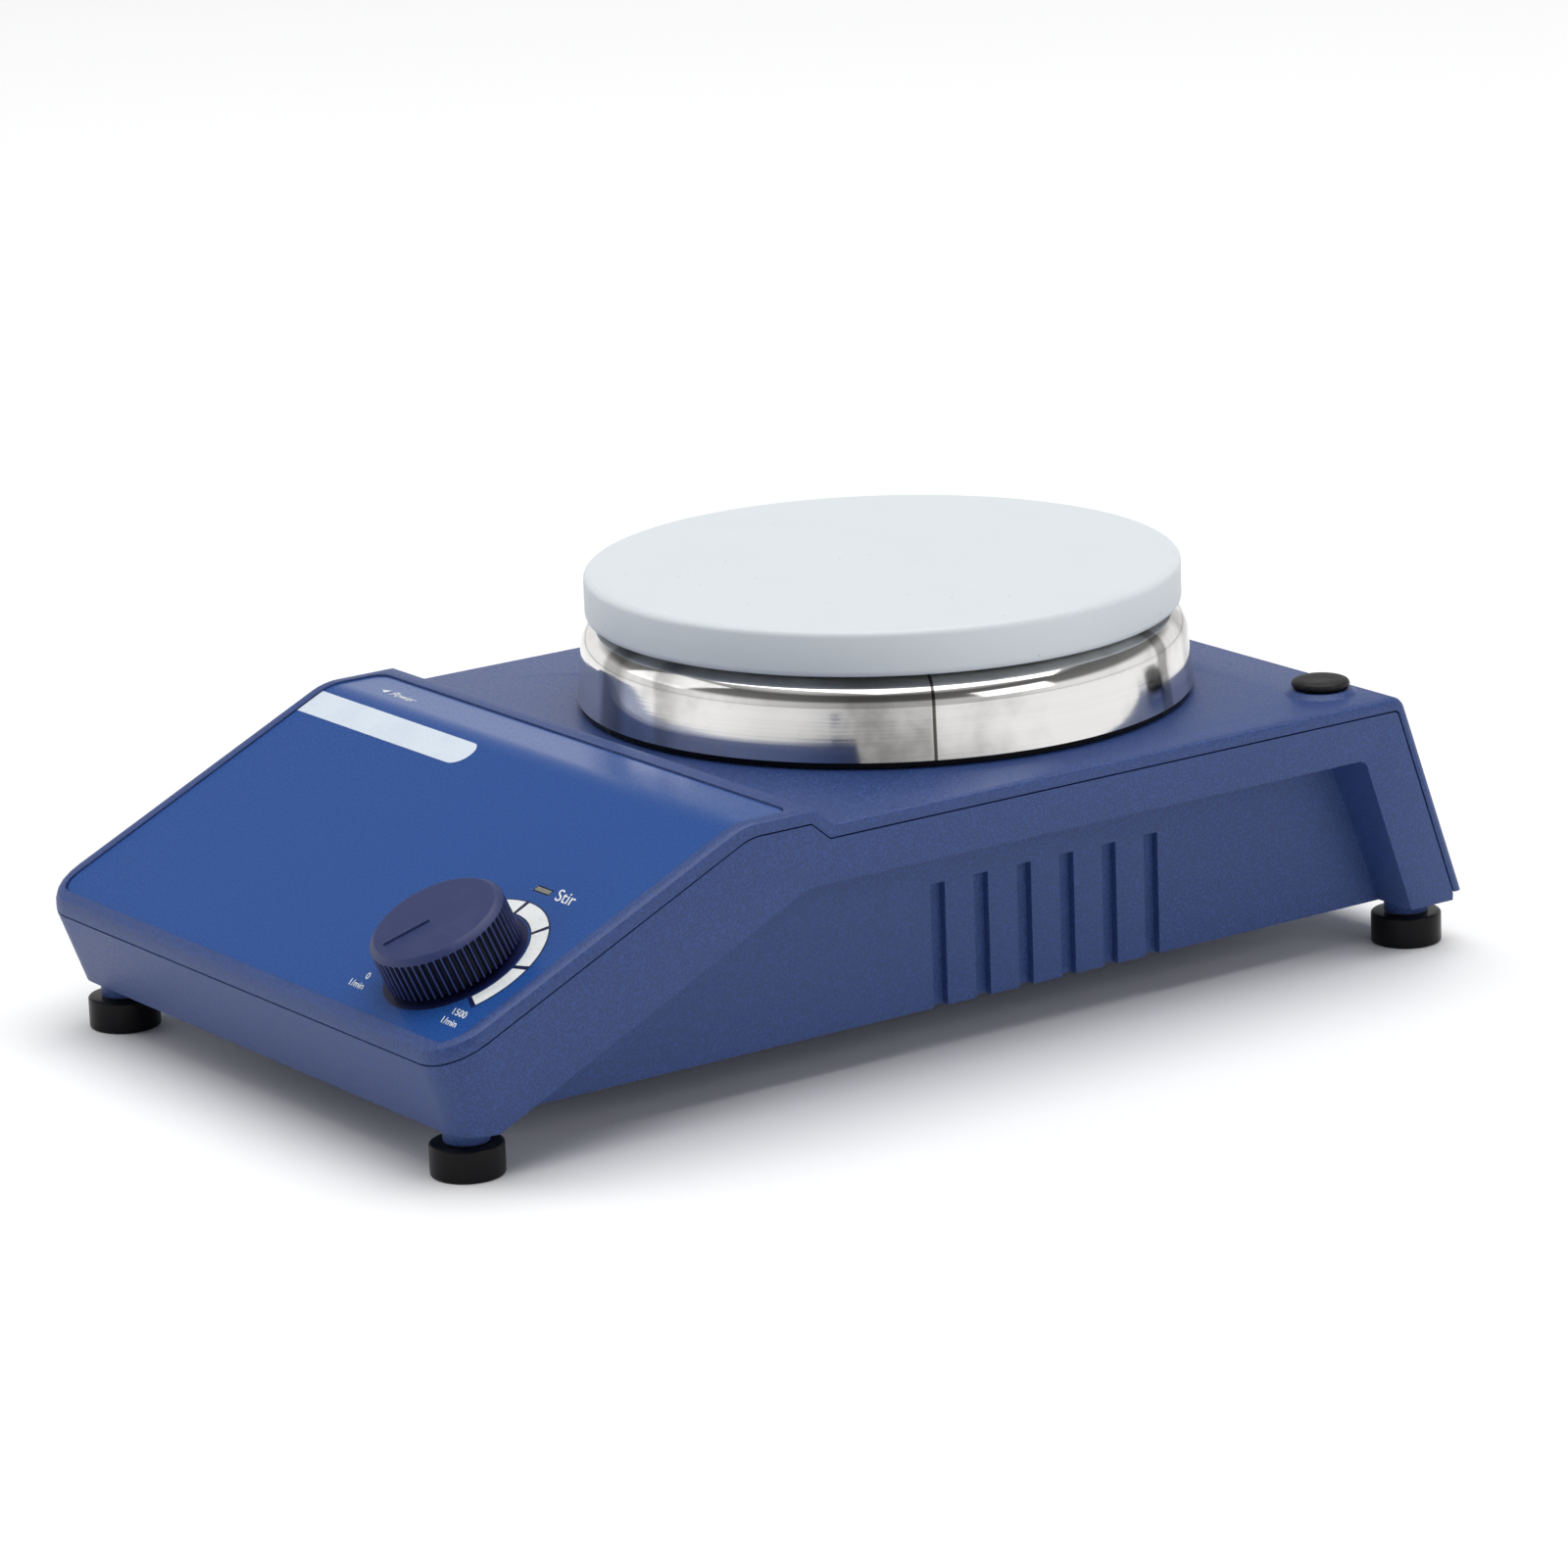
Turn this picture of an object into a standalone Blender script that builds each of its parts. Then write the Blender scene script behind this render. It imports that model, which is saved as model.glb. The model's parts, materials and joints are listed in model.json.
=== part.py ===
"""Bench-top magnetic stirrer: moulded case, round steel plate, spinning magnets and their motor.

Frame: origin under the middle of the case on the table top, +X to the right, -Y to the control panel,
+Y to the mains inlet, +Z up. Lengths in this file are millimetres; the helpers turn them into metres.
"""
import math

import bmesh
import bpy
from mathutils import Matrix, Vector

MM = 0.001
GAP = 0.3  # left between two pieces that touch
FIT = 0.06  # running clearance of a shaft in its bush

# Case: side profile of the top cover, as (y, z), front to rear
HALF_WIDTH = 75.0
FRONT_Y = -123.0
REAR_Y = 123.0
SLOPE = math.radians(24.7)
LIP_Z = 27.4
SHOULDER_Z = 58.7
DECK_Z = 55.15
CREST_Y = -38.4
STEP_Y = -34.2
DECK_REAR_Y = 105.6
REAR_FOOT_Z = 11.2
COVER_WALL = 2.5
CORNER_R = 9.0

# Lower housing
BASE_Z = 9.5
BASE_HALF_WIDTH = 72.3
BASE_FRONT_Y = -117.8
BASE_CORNER_R = 7.0
WALL = 2.5
RECESS_X = 62.0
RECESS_TOP_Z = 43.6
GROOVE_PITCH = 10.48
GROOVE_WIDTH = 3.5
GROOVE_DEPTH = 1.6
GROOVE_TOP_Z = 34.45
GROOVE_FIRST_Y = -1.3
GROOVE_COUNT = 6
RECESS_SLOPE = 0.4858
RECESS_FRONT_Y = -110.3
RECESS_REAR_TOP_Y = 96.1
RECESS_REAR_Y = 110.3

# Screw posts and screws
POST_R = 3.5
POST_FOOT_Z = 14.3
SCREW_R = 1.5
SCREW_HOLE_R = 1.8
SCREW_HEAD_R = 3.1

# Feet
FOOT_X = 63.0
FOOT_FRONT_Y = -111.9
FOOT_REAR_Y = 115.8
FOOT_R = 7.15
FOOT_H = 6.35
BOSS_R = 4.5

# Round plate stack, turned about the motor axis
PLATE_Y = 32.55
MAT_R = 60.15
MAT_BOTTOM_Z = 73.1
MAT_TOP_Z = 82.4
STEEL_TOP_Z = 72.5
STEEL_FOOT_R = 62.3
STEEL_FOOT_Z = 56.7
STEEL_WALL = 1.2
PLATE_POST_PCR = 54.0

# Control panel, measured up the slope from the front lip
FILM_HALF_WIDTH = 71.5
FILM_FRONT = 2.9
FILM_REAR_Y = -42.4
FILM_SINK = 0.35
FILM_THICK = 0.45
FILM_FRONT_R = 4.5
FILM_REAR_R = 3.0
KNOB_X = 48.5
KNOB_S = 21.5
KNOB_R = 13.65
KNOB_BASE = 1.0
KNOB_SIDE_TOP = 8.8
KNOB_TOP = 10.0
KNOB_POINTER = math.radians(-109)
POT_SHAFT_R = 3.0
POT_BUSH_R = 4.0
LED_X = 47.5
LED_S = 44.4
LED_SIZE = (4.8, 1.1)

# Rod socket in the deck
SOCKET_X = 60.8
SOCKET_Y = 96.1
SOCKET_R = 3.6
SOCKET_NECK_R = 5.0

# Motor and magnets
SHAFT_R = 2.5
MOTOR_Z = 31.0
STACK_H = 16.0
ROTOR_R = 14.0
AIR_GAP = 0.6
MAGNET_X = 22.0
MAGNET_R = 8.0
CARRIER_Z = 61.0

# Mains inlet on the leaning rear wall and the rocker switch in the left wall
INLET_X = 38.0
INLET_UP = 23.0
SWITCH_Y = -49.5
SWITCH_Z = 49.1
SWITCH_FRAME = (15.0, 9.2)
SWITCH_BODY = (13.3, 7.6)
ROCKER_TILT = math.radians(8)


def clear_scene():
    for obj in list(bpy.data.objects):
        bpy.data.objects.remove(obj, do_unlink=True)
    for name in ("magnetic_stirrer", "cutters"):
        group = bpy.data.collections.new(name)
        bpy.context.scene.collection.children.link(group)


def material(name, colour, roughness, metallic=0.0):
    mat = bpy.data.materials.new(name)
    mat.use_nodes = True
    shader = mat.node_tree.nodes["Principled BSDF"]
    shader.inputs["Base Color"].default_value = (*colour, 1.0)
    shader.inputs["Roughness"].default_value = roughness
    shader.inputs["Metallic"].default_value = metallic
    return mat


def link(obj, mat=None, cutter=False):
    for group in list(obj.users_collection):
        group.objects.unlink(obj)
    bpy.data.collections["cutters" if cutter else "magnetic_stirrer"].objects.link(obj)
    if cutter:
        obj.hide_render = True
        obj.display_type = "WIRE"
    if mat is not None:
        obj.data.materials.clear()
        obj.data.materials.append(material(obj.name, *mat))
    return obj


def smooth(obj, degrees=40):
    obj.data.shade_smooth()
    obj.data.set_sharp_from_angle(angle=math.radians(degrees))
    return obj


def at(obj, place, frame=None):
    """Place an object at a point given in millimetres, in the world or in a panel's own frame."""
    local = Matrix.Translation(Vector(place) * MM)
    obj.matrix_world = (frame or Matrix()) @ local @ obj.matrix_basis
    return obj


def block(name, size, place, mat=None, frame=None, cutter=False, bevel=0.0):
    bpy.ops.mesh.primitive_cube_add(size=1.0)
    obj = bpy.context.object
    obj.name = obj.data.name = name
    obj.data.transform(Matrix.Diagonal((*(Vector(size) * MM), 1.0)))
    if bevel:
        edge = obj.modifiers.new("edges", "BEVEL")
        edge.width = bevel * MM
        edge.segments = 2
    return at(link(obj, mat, cutter), place, frame)


def rod(name, radius, length, place, mat=None, frame=None, cutter=False, sides=24, turn=(0, 0, 0)):
    """A cylinder whose middle is at the place, its axis along +Z unless turned."""
    bpy.ops.mesh.primitive_cylinder_add(
        vertices=sides, radius=radius * MM, depth=length * MM, rotation=turn)
    obj = bpy.context.object
    obj.name = obj.data.name = name
    return smooth(at(link(obj, mat, cutter), place, frame))


def turned(name, profile, place, mat=None, frame=None, cutter=False, sides=32, ring=False):
    """Spin a profile of (radius, height) points, top to bottom on its outer side, about +Z."""
    mesh = bpy.data.meshes.new(name)
    steps = len(profile)
    edges = [(i, (i + 1) % steps) for i in range(steps if ring else steps - 1)]
    mesh.from_pydata([(r * MM, 0, z * MM) for r, z in profile], edges, [])
    obj = bpy.data.objects.new(name, mesh)
    link(obj, mat, cutter)
    spin = obj.modifiers.new("spin", "SCREW")
    spin.steps = spin.render_steps = sides
    spin.use_merge_vertices = True
    spin.merge_threshold = 0.00001
    spin.use_smooth_shade = True
    return at(obj, place, frame)


def outline_solid(name, points, thickness, place, turn=Matrix(), mat=None, frame=None, cutter=False):
    """A flat outline given thickness, made a mesh so that it can cut or be cut."""
    curve = bpy.data.curves.new(name, "CURVE")
    curve.dimensions = "2D"
    curve.fill_mode = "BOTH"
    curve.extrude = thickness / 2 * MM
    line = curve.splines.new("POLY")
    line.points.add(len(points) - 1)
    for point, (u, v) in zip(line.points, points):
        point.co = (u * MM, v * MM, 0, 1)
    line.use_cyclic_u = True
    guide = bpy.data.objects.new(name + "_outline", curve)
    bpy.context.scene.collection.objects.link(guide)
    bpy.context.view_layer.update()
    mesh = bpy.data.meshes.new_from_object(guide.evaluated_get(bpy.context.evaluated_depsgraph_get()))
    bpy.data.objects.remove(guide, do_unlink=True)
    weld(mesh)
    mesh.transform(turn)
    mesh.name = name
    obj = bpy.data.objects.new(name, mesh)
    return at(link(obj, mat, cutter), place, frame)


def weld(mesh):
    work = bmesh.new()
    work.from_mesh(mesh)
    bmesh.ops.remove_doubles(work, verts=work.verts, dist=0.00001)
    bmesh.ops.recalc_face_normals(work, faces=work.faces)
    work.to_mesh(mesh)
    work.free()


def wire(name, points, radius, mat):
    """A soft wire on a smooth curve through its route's points."""
    samples = smooth_path(points, 5)
    curve = bpy.data.curves.new(name, "CURVE")
    curve.dimensions = "3D"
    curve.bevel_depth = radius * MM
    curve.bevel_resolution = 1
    curve.use_fill_caps = True
    line = curve.splines.new("POLY")
    line.points.add(len(samples) - 1)
    for point, co in zip(line.points, samples):
        point.co = (*(co * MM), 1)
    obj = bpy.data.objects.new(name, curve)
    return link(obj, mat)


def smooth_path(points, pieces):
    """Points on a Catmull-Rom curve through the given ones."""
    knots = [Vector(p) for p in points]
    knots = [2 * knots[0] - knots[1], *knots, 2 * knots[-1] - knots[-2]]
    samples = []
    for a, b, c, d in zip(knots, knots[1:], knots[2:], knots[3:]):
        for step in range(pieces):
            t = step / pieces
            samples.append(0.5 * ((2 * b) + (c - a) * t + (2 * a - 5 * b + 4 * c - d) * t * t
                                  + (3 * b - a - 3 * c + d) * t ** 3))
    return samples + [knots[-2]]


def boolean(obj, other, operation="DIFFERENCE"):
    cut = obj.modifiers.new(other.name, "BOOLEAN")
    cut.operation = operation
    cut.object = other
    cut.solver = "EXACT"
    return obj


def rounded(corners):
    """A line through (y, z, radius, steps) corners, each round one swept as an arc."""
    line = []
    for i, (y, z, radius, steps) in enumerate(corners):
        here = Vector((y, z))
        if radius == 0 or i in (0, len(corners) - 1):
            line.append((y, z))
            continue
        back = (Vector(corners[i - 1][:2]) - here).normalized()
        on = (Vector(corners[i + 1][:2]) - here).normalized()
        half = back.angle(on) / 2
        middle = here + (back + on).normalized() * radius / math.sin(half)
        start = here + back * radius / math.tan(half) - middle
        end = here + on * radius / math.tan(half) - middle
        turn = start.angle_signed(end)
        for step in range(steps + 1):
            arm = start.copy()
            arm.rotate(Matrix.Rotation(-turn * step / steps, 2))
            line.append(tuple(middle + arm))
    return line


def slope_z(y):
    return LIP_Z + (y - FRONT_Y) * math.tan(SLOPE)


SLOPE_END_Y = FRONT_Y + (SHOULDER_Z - LIP_Z) / math.tan(SLOPE)
SLOPE_DROP = 3.13  # the cover's wall on the slope, measured straight down
COVER_TOP = rounded([
    (FRONT_Y, LIP_Z, 0, 0), (SLOPE_END_Y, SHOULDER_Z, 14, 6), (CREST_Y, SHOULDER_Z, 0.8, 2),
    (STEP_Y, DECK_Z, 1.0, 2), (DECK_REAR_Y, DECK_Z, 2.8, 4), (REAR_Y, REAR_FOOT_Z, 0, 0)])
COVER_UNDER = rounded([
    (FRONT_Y, LIP_Z - SLOPE_DROP, 0, 0), (SLOPE_END_Y + 1.3, SHOULDER_Z - COVER_WALL, 11, 6),
    (CREST_Y - 1.2, SHOULDER_Z - COVER_WALL, 0.8, 2), (STEP_Y - 1.2, DECK_Z - COVER_WALL, 1.0, 2),
    (DECK_REAR_Y - 1.2, DECK_Z - COVER_WALL, 1.2, 4), (REAR_Y - 2.3, REAR_FOOT_Z, 0, 0)])


def height_on(line, y):
    """The height of a side profile at y."""
    for (y0, z0), (y1, z1) in zip(line, line[1:]):
        if y0 <= y <= y1 and y1 > y0:
            return z0 + (z1 - z0) * (y - y0) / (y1 - y0)
    return line[-1][1]


def plan_outline(half_width, front_y, radius, steps=6):
    """The right half of the plan outline's front: corner points with their outward direction."""
    corner = []
    for step in range(steps + 1):
        angle = math.pi / 2 * step / steps
        across, ahead = math.sin(angle), -math.cos(angle)
        x = half_width - radius + radius * across
        corner.append((x, front_y + radius + radius * ahead, across, ahead))
    return corner


def loft(name, rings, mat=None, cutter=False):
    """Skin rings of right-half points and their mirror images, ring by ring from under to top."""
    stations = len(rings[0])
    mesh = bpy.data.meshes.new(name)
    verts = [(side * x * MM, y * MM, z * MM) for ring in rings for side in (1, -1) for x, y, z in ring]

    def v(k, side, i):
        return (2 * k + (0 if side > 0 else 1)) * stations + i

    faces = []
    top = len(rings) - 1
    for k in range(top):
        faces.append((v(k, -1, 0), v(k, 1, 0), v(k + 1, 1, 0), v(k + 1, -1, 0)))
        for i in range(stations - 1):
            faces.append((v(k, 1, i), v(k, 1, i + 1), v(k + 1, 1, i + 1), v(k + 1, 1, i)))
            faces.append((v(k, -1, i + 1), v(k, -1, i), v(k + 1, -1, i), v(k + 1, -1, i + 1)))
    for i in range(stations - 1):
        faces.append((v(top, -1, i), v(top, 1, i), v(top, 1, i + 1), v(top, -1, i + 1)))
        faces.append((v(0, 1, i), v(0, -1, i), v(0, -1, i + 1), v(0, 1, i + 1)))
    end = stations - 1
    faces.append([v(k, 1, end) for k in range(top + 1)] + [v(k, -1, end) for k in range(top, -1, -1)])
    mesh.from_pydata(verts, [], faces)
    weld(mesh)
    obj = bpy.data.objects.new(name, mesh)
    return link(obj, mat, cutter)


def join_cutters(name, cutters):
    """One cutter from several separate ones."""
    work = bmesh.new()
    for cutter in cutters:
        piece = cutter.data.copy()
        piece.transform(cutter.matrix_world)
        work.from_mesh(piece)
        bpy.data.meshes.remove(piece)
        bpy.data.objects.remove(cutter, do_unlink=True)
    mesh = bpy.data.meshes.new(name)
    work.to_mesh(mesh)
    work.free()
    return link(bpy.data.objects.new(name, mesh), cutter=True)


def panel_frame():
    """The control panel's own frame: x across, y up the slope from the front lip, z out of it."""
    return Matrix.Translation(Vector((0, FRONT_Y, LIP_Z)) * MM) @ Matrix.Rotation(SLOPE, 4, "X")


def rear_frame():
    """The leaning rear wall's frame: x to the object's left, y up the wall, z out of it."""
    lean = math.atan2(REAR_Y - DECK_REAR_Y, DECK_Z - REAR_FOOT_Z)
    turn = Matrix.Rotation(math.pi, 4, "Z") @ Matrix.Rotation(math.pi / 2 - lean, 4, "X")
    return Matrix.Translation(Vector((0, REAR_Y, REAR_FOOT_Z)) * MM) @ turn


BLUE = ((0.045, 0.075, 0.26), 0.5)
FILM_BLUE = ((0.02, 0.07, 0.36), 0.12)
KNOB_BLUE = ((0.04, 0.045, 0.16), 0.4)
BLACK = ((0.015, 0.015, 0.016), 0.6)
RUBBER = ((0.02, 0.02, 0.021), 0.8)
WHITE_MAT = ((0.78, 0.82, 0.84), 0.45)
STEEL = ((0.75, 0.75, 0.76), 0.12, 1.0)
ZINC = ((0.6, 0.61, 0.63), 0.3, 1.0)
BRASS = ((0.7, 0.52, 0.25), 0.3, 1.0)
IRON = ((0.2, 0.2, 0.21), 0.45, 1.0)
COPPER = ((0.6, 0.27, 0.12), 0.35, 1.0)
BOARD = ((0.03, 0.22, 0.09), 0.4)
TERMINAL_GREEN = ((0.05, 0.3, 0.12), 0.5)
MAGNET = ((0.5, 0.5, 0.52), 0.25, 1.0)
GLASS = ((0.5, 0.55, 0.6), 0.05)
RED_LEAD = ((0.25, 0.03, 0.03), 0.5)
BLUE_LEAD = ((0.02, 0.02, 0.3), 0.5)

PANEL = panel_frame()
REAR = rear_frame()
UNDER_DECK_Z = DECK_Z - COVER_WALL
FLOOR_Z = BASE_Z + WALL
BOARD_Z = FLOOR_Z + 5 + GAP


def half_width(y, z):
    """Half the case's width: the side walls lean in below the rear wall's top."""
    if y < DECK_REAR_Y - 6:
        return HALF_WIDTH
    draft = (HALF_WIDTH - BASE_HALF_WIDTH) / (UNDER_DECK_Z - BASE_Z)
    return HALF_WIDTH - draft * max(0.0, UNDER_DECK_Z - z)


def cover_ring(inset, drop):
    ring = []
    for x, y, across, ahead in plan_outline(HALF_WIDTH, FRONT_Y, CORNER_R):
        ring.append((x - inset * across, y - inset * ahead, slope_z(y - inset * ahead) - drop))
    for (y, z), (under_y, under_z) in zip(COVER_TOP[1:], COVER_UNDER[1:]):
        down = (Vector((under_y, under_z)) - Vector((y, z))).normalized() * drop
        ring.append((half_width(y, z) - inset, y + down.x, z + down.y))
    return ring


def cover_under_ring():
    ring = [(x, y, slope_z(y) - SLOPE_DROP) for x, y, _, _ in plan_outline(HALF_WIDTH, FRONT_Y, CORNER_R)]
    return ring + [(half_width(y, z), y, z) for y, z in COVER_UNDER[1:]]


def film_rings(grow, top, under):
    """Two rings of the panel film, or of the pocket it lies in, at depths below the cover's surface."""
    front = FRONT_Y + FILM_FRONT * math.cos(SLOPE) - grow
    rear = FILM_REAR_Y + grow
    side = FILM_HALF_WIDTH + grow
    outline = [(x, y) for x, y, _, _ in plan_outline(side, front, FILM_FRONT_R, 4)]
    outline += [(side, y) for y, _ in COVER_TOP[1:8]]
    for step in range(4):
        angle = math.pi / 2 * step / 3
        x = side - FILM_REAR_R * (1 - math.cos(angle))
        outline.append((x, rear - FILM_REAR_R * (1 - math.sin(angle))))
    surface = [(x, y, height_on(COVER_TOP, y)) for x, y in outline]
    return [[(x, y, z - depth) for x, y, z in surface] for depth in (under, top)]


def cover_post_places():
    return [(side * x, y) for side in (-1, 1) for x, y in ((25, -100), (52, 76))]


def plate_post_places():
    angles = [math.radians(a) for a in (90, 210, 330)]
    return [(PLATE_POST_PCR * math.cos(a), PLATE_Y + PLATE_POST_PCR * math.sin(a)) for a in angles]


def board_post_places():
    return [(x, y) for x in (-30, 30) for y in (-74, -38)]


def foot_places():
    return [(name, x, y) for name, x, y in (
        ("front_left", -FOOT_X, FOOT_FRONT_Y), ("front_right", FOOT_X, FOOT_FRONT_Y),
        ("rear_left", -FOOT_X, FOOT_REAR_Y), ("rear_right", FOOT_X, FOOT_REAR_Y))]


def post_top(y):
    """Where a screw post under the cover runs into its wall."""
    return height_on(COVER_UNDER, y + POST_R) + 0.6


def make_upper_cover():
    edge = 1.3
    near = edge * 0.3
    rings = [cover_under_ring(), cover_ring(0, edge), cover_ring(near, near), cover_ring(edge, 0)]
    cover = loft("upper_cover", rings, BLUE)
    collar = [(0, 0.9), (6.3, 0.9), (6.7, 0.5), (7.1, 0.2), (8.2, -0.6), (8.2, -2), (0, -2)]
    boolean(cover, turned("add_socket_ring", collar, (SOCKET_X, SOCKET_Y, DECK_Z), cutter=True), "UNION")
    posts = []
    for i, (x, y) in enumerate(cover_post_places()):
        top = post_top(y)
        middle = (x, y, (top + POST_FOOT_Z) / 2)
        posts.append(rod(f"post_{i}", POST_R, top - POST_FOOT_Z, middle, cutter=True, sides=16))
    boolean(cover, join_cutters("add_posts", posts), "UNION")
    boolean(cover, loft("cut_film", film_rings(0.25, -3, FILM_SINK + FILM_THICK + GAP), cutter=True))

    holes = [rod(f"post_hole_{i}", SCREW_HOLE_R, 16, (x, y, POST_FOOT_Z), cutter=True, sides=12)
             for i, (x, y) in enumerate(cover_post_places())]
    holes += [rod(f"plate_hole_{i}", SCREW_HOLE_R, 12, (x, y, DECK_Z), cutter=True, sides=12)
              for i, (x, y) in enumerate(plate_post_places())]
    holes.append(rod("hole_socket", SOCKET_NECK_R + GAP, 20, (SOCKET_X, SOCKET_Y, DECK_Z), cutter=True))
    holes.append(rod("hole_motor_shaft", 12, 20, (0, PLATE_Y, DECK_Z), cutter=True))
    holes += panel_holes("cover")
    holes.append(block("hole_inlet", (28.6, 24.6, 14), (INLET_X, INLET_UP, 0), frame=REAR, cutter=True))
    boolean(cover, join_cutters("cut_cover_holes", holes))
    smooth(cover)


def panel_holes(name):
    """The holes for the potentiometer's bush and for the lamp, through the cover or its film."""
    return [rod(f"{name}_hole_pot", POT_BUSH_R + GAP, 12, (KNOB_X, KNOB_S, 0), frame=PANEL, cutter=True),
            block(f"{name}_hole_led", (LED_SIZE[0] + 2 * GAP, LED_SIZE[1] + 2 * GAP, 8),
                  (LED_X, LED_S, -1), frame=PANEL, cutter=True)]


def side_prism(name, outline, x_from, x_to):
    """A (y, z) outline given a length along X, as a cutter."""
    turn = Matrix.Rotation(math.pi / 2, 4, "Z") @ Matrix.Rotation(math.pi / 2, 4, "X")
    return outline_solid(name, outline, x_to - x_from, ((x_from + x_to) / 2, 0, 0), turn, cutter=True)


def housing_blank():
    front = plan_outline(HALF_WIDTH, FRONT_Y, CORNER_R)
    top = [(x, y, slope_z(y) - SLOPE_DROP - GAP) for x, y, _, _ in front]
    base = [(x, y, BASE_Z) for x, y, _, _ in plan_outline(BASE_HALF_WIDTH, BASE_FRONT_Y, BASE_CORNER_R)]
    for y, z in COVER_UNDER[1:]:
        ahead = GAP if z < UNDER_DECK_Z else 0
        top.append((half_width(y, z), y - ahead, z - GAP))
        base.append((BASE_HALF_WIDTH, y - ahead, BASE_Z))
    return loft("lower_housing", [base, top], BLUE)


def cut_side_recesses(housing):
    """The hand recess in each side, its ends slanted like the panel and the rear wall, and its grooves."""
    low = BASE_Z - 2
    recess = rounded([
        (RECESS_FRONT_Y - 2 / RECESS_SLOPE, low, 0, 0),
        (RECESS_FRONT_Y + (RECESS_TOP_Z - BASE_Z) / RECESS_SLOPE, RECESS_TOP_Z, 8, 4),
        (RECESS_REAR_TOP_Y, RECESS_TOP_Z, 2.0, 2), (RECESS_REAR_Y, low, 0, 0)])
    outside = HALF_WIDTH + 15
    boolean(housing, side_prism("cut_recess_right", recess, RECESS_X, outside))
    boolean(housing, side_prism("cut_recess_left", recess, -outside, -RECESS_X))
    tall = GROOVE_TOP_Z - BASE_Z + 4
    grooves = []
    for side in (-1, 1):
        for i in range(GROOVE_COUNT):
            place = (side * RECESS_X, GROOVE_FIRST_Y + i * GROOVE_PITCH, GROOVE_TOP_Z - tall / 2)
            size = (2 * GROOVE_DEPTH, GROOVE_WIDTH, tall)
            grooves.append(block(f"groove_{side}_{i}", size, place, cutter=True))
    return join_cutters("cut_grooves", grooves)


def make_lower_housing():
    housing = housing_blank()
    grooves = cut_side_recesses(housing)
    above = SHOULDER_Z + 20
    behind = REAR_Y + 7
    core = [(-114.8, FLOOR_Z), (-120.4, 26), (-120.4, above), (behind, above), (behind, FLOOR_Z)]
    core_x = RECESS_X - WALL
    boolean(housing, side_prism("cut_core", core, -core_x, core_x))
    low = FLOOR_Z + 1.4
    ledge = RECESS_TOP_Z + 2.6
    wide = [(-108, low + 0.5), (-113.5, low + 0.5), (-118, 25), (-118, above), (behind, above),
            (behind, low), (112.0, low), (98.9, ledge), (-40, ledge), (-44.4, RECESS_TOP_Z + 1)]
    wide_x = BASE_HALF_WIDTH - 2.7
    boolean(housing, side_prism("cut_wide", wide, -wide_x, wide_x))
    boolean(housing, grooves)

    boss_h = FLOOR_Z - FOOT_H - GAP - 0.75
    posts = [rod(f"boss_{name}", BOSS_R, boss_h, (x, y, FOOT_H + GAP + boss_h / 2), cutter=True)
             for name, x, y in foot_places()]
    posts += [rod(f"board_post_{i}", 4, 6, (x, y, FLOOR_Z + 2), cutter=True, sides=16)
              for i, (x, y) in enumerate(board_post_places())]
    boolean(housing, join_cutters("add_posts_and_bosses", posts), "UNION")
    holes = [rod(f"boss_hole_{name}", SCREW_HOLE_R, 12, (x, y, 8), cutter=True, sides=12)
             for name, x, y in foot_places()]
    holes += [rod(f"screw_hole_{i}", SCREW_HOLE_R, 12, (x, y, FLOOR_Z), cutter=True, sides=12)
              for i, (x, y) in enumerate(cover_post_places())]
    holes += [rod(f"board_hole_{i}", 1.3, 4, (x, y, FLOOR_Z + 4), cutter=True, sides=12)
              for i, (x, y) in enumerate(board_post_places())]
    switch = (-HALF_WIDTH, SWITCH_Y, SWITCH_Z)
    behind_frame = (30, SWITCH_BODY[0] + 0.6, SWITCH_BODY[1] + 0.6)
    holes.append(block("hole_switch", behind_frame, switch, cutter=True))
    boolean(housing, join_cutters("cut_housing_holes", holes))
    pocket = (5.4, SWITCH_FRAME[0] + 0.6, SWITCH_FRAME[1] + 0.6)
    boolean(housing, block("cut_switch_pocket", pocket, switch, cutter=True))
    smooth(housing)


def make_panel():
    film = loft("control_overlay", film_rings(0, FILM_SINK, FILM_SINK + FILM_THICK), FILM_BLUE)
    boolean(film, join_cutters("cut_film_holes", panel_holes("film")))
    smooth(film)
    face = -FILM_SINK
    low = -6.5
    lamp = block("stir_led", (*LED_SIZE, face - low), (LED_X, LED_S, (face + low) / 2), GLASS, PANEL)
    flange_size = (LED_SIZE[0] + 1.2, LED_SIZE[1] + 1.2, 1.0)
    flange = block("add_led_flange", flange_size, (LED_X, LED_S, low + 0.5), frame=PANEL, cutter=True)
    boolean(lamp, flange, "UNION")
    block("led_board", (16, 10, 1.2), (LED_X - 4, LED_S, low - GAP - 0.6), BOARD, PANEL)


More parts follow.
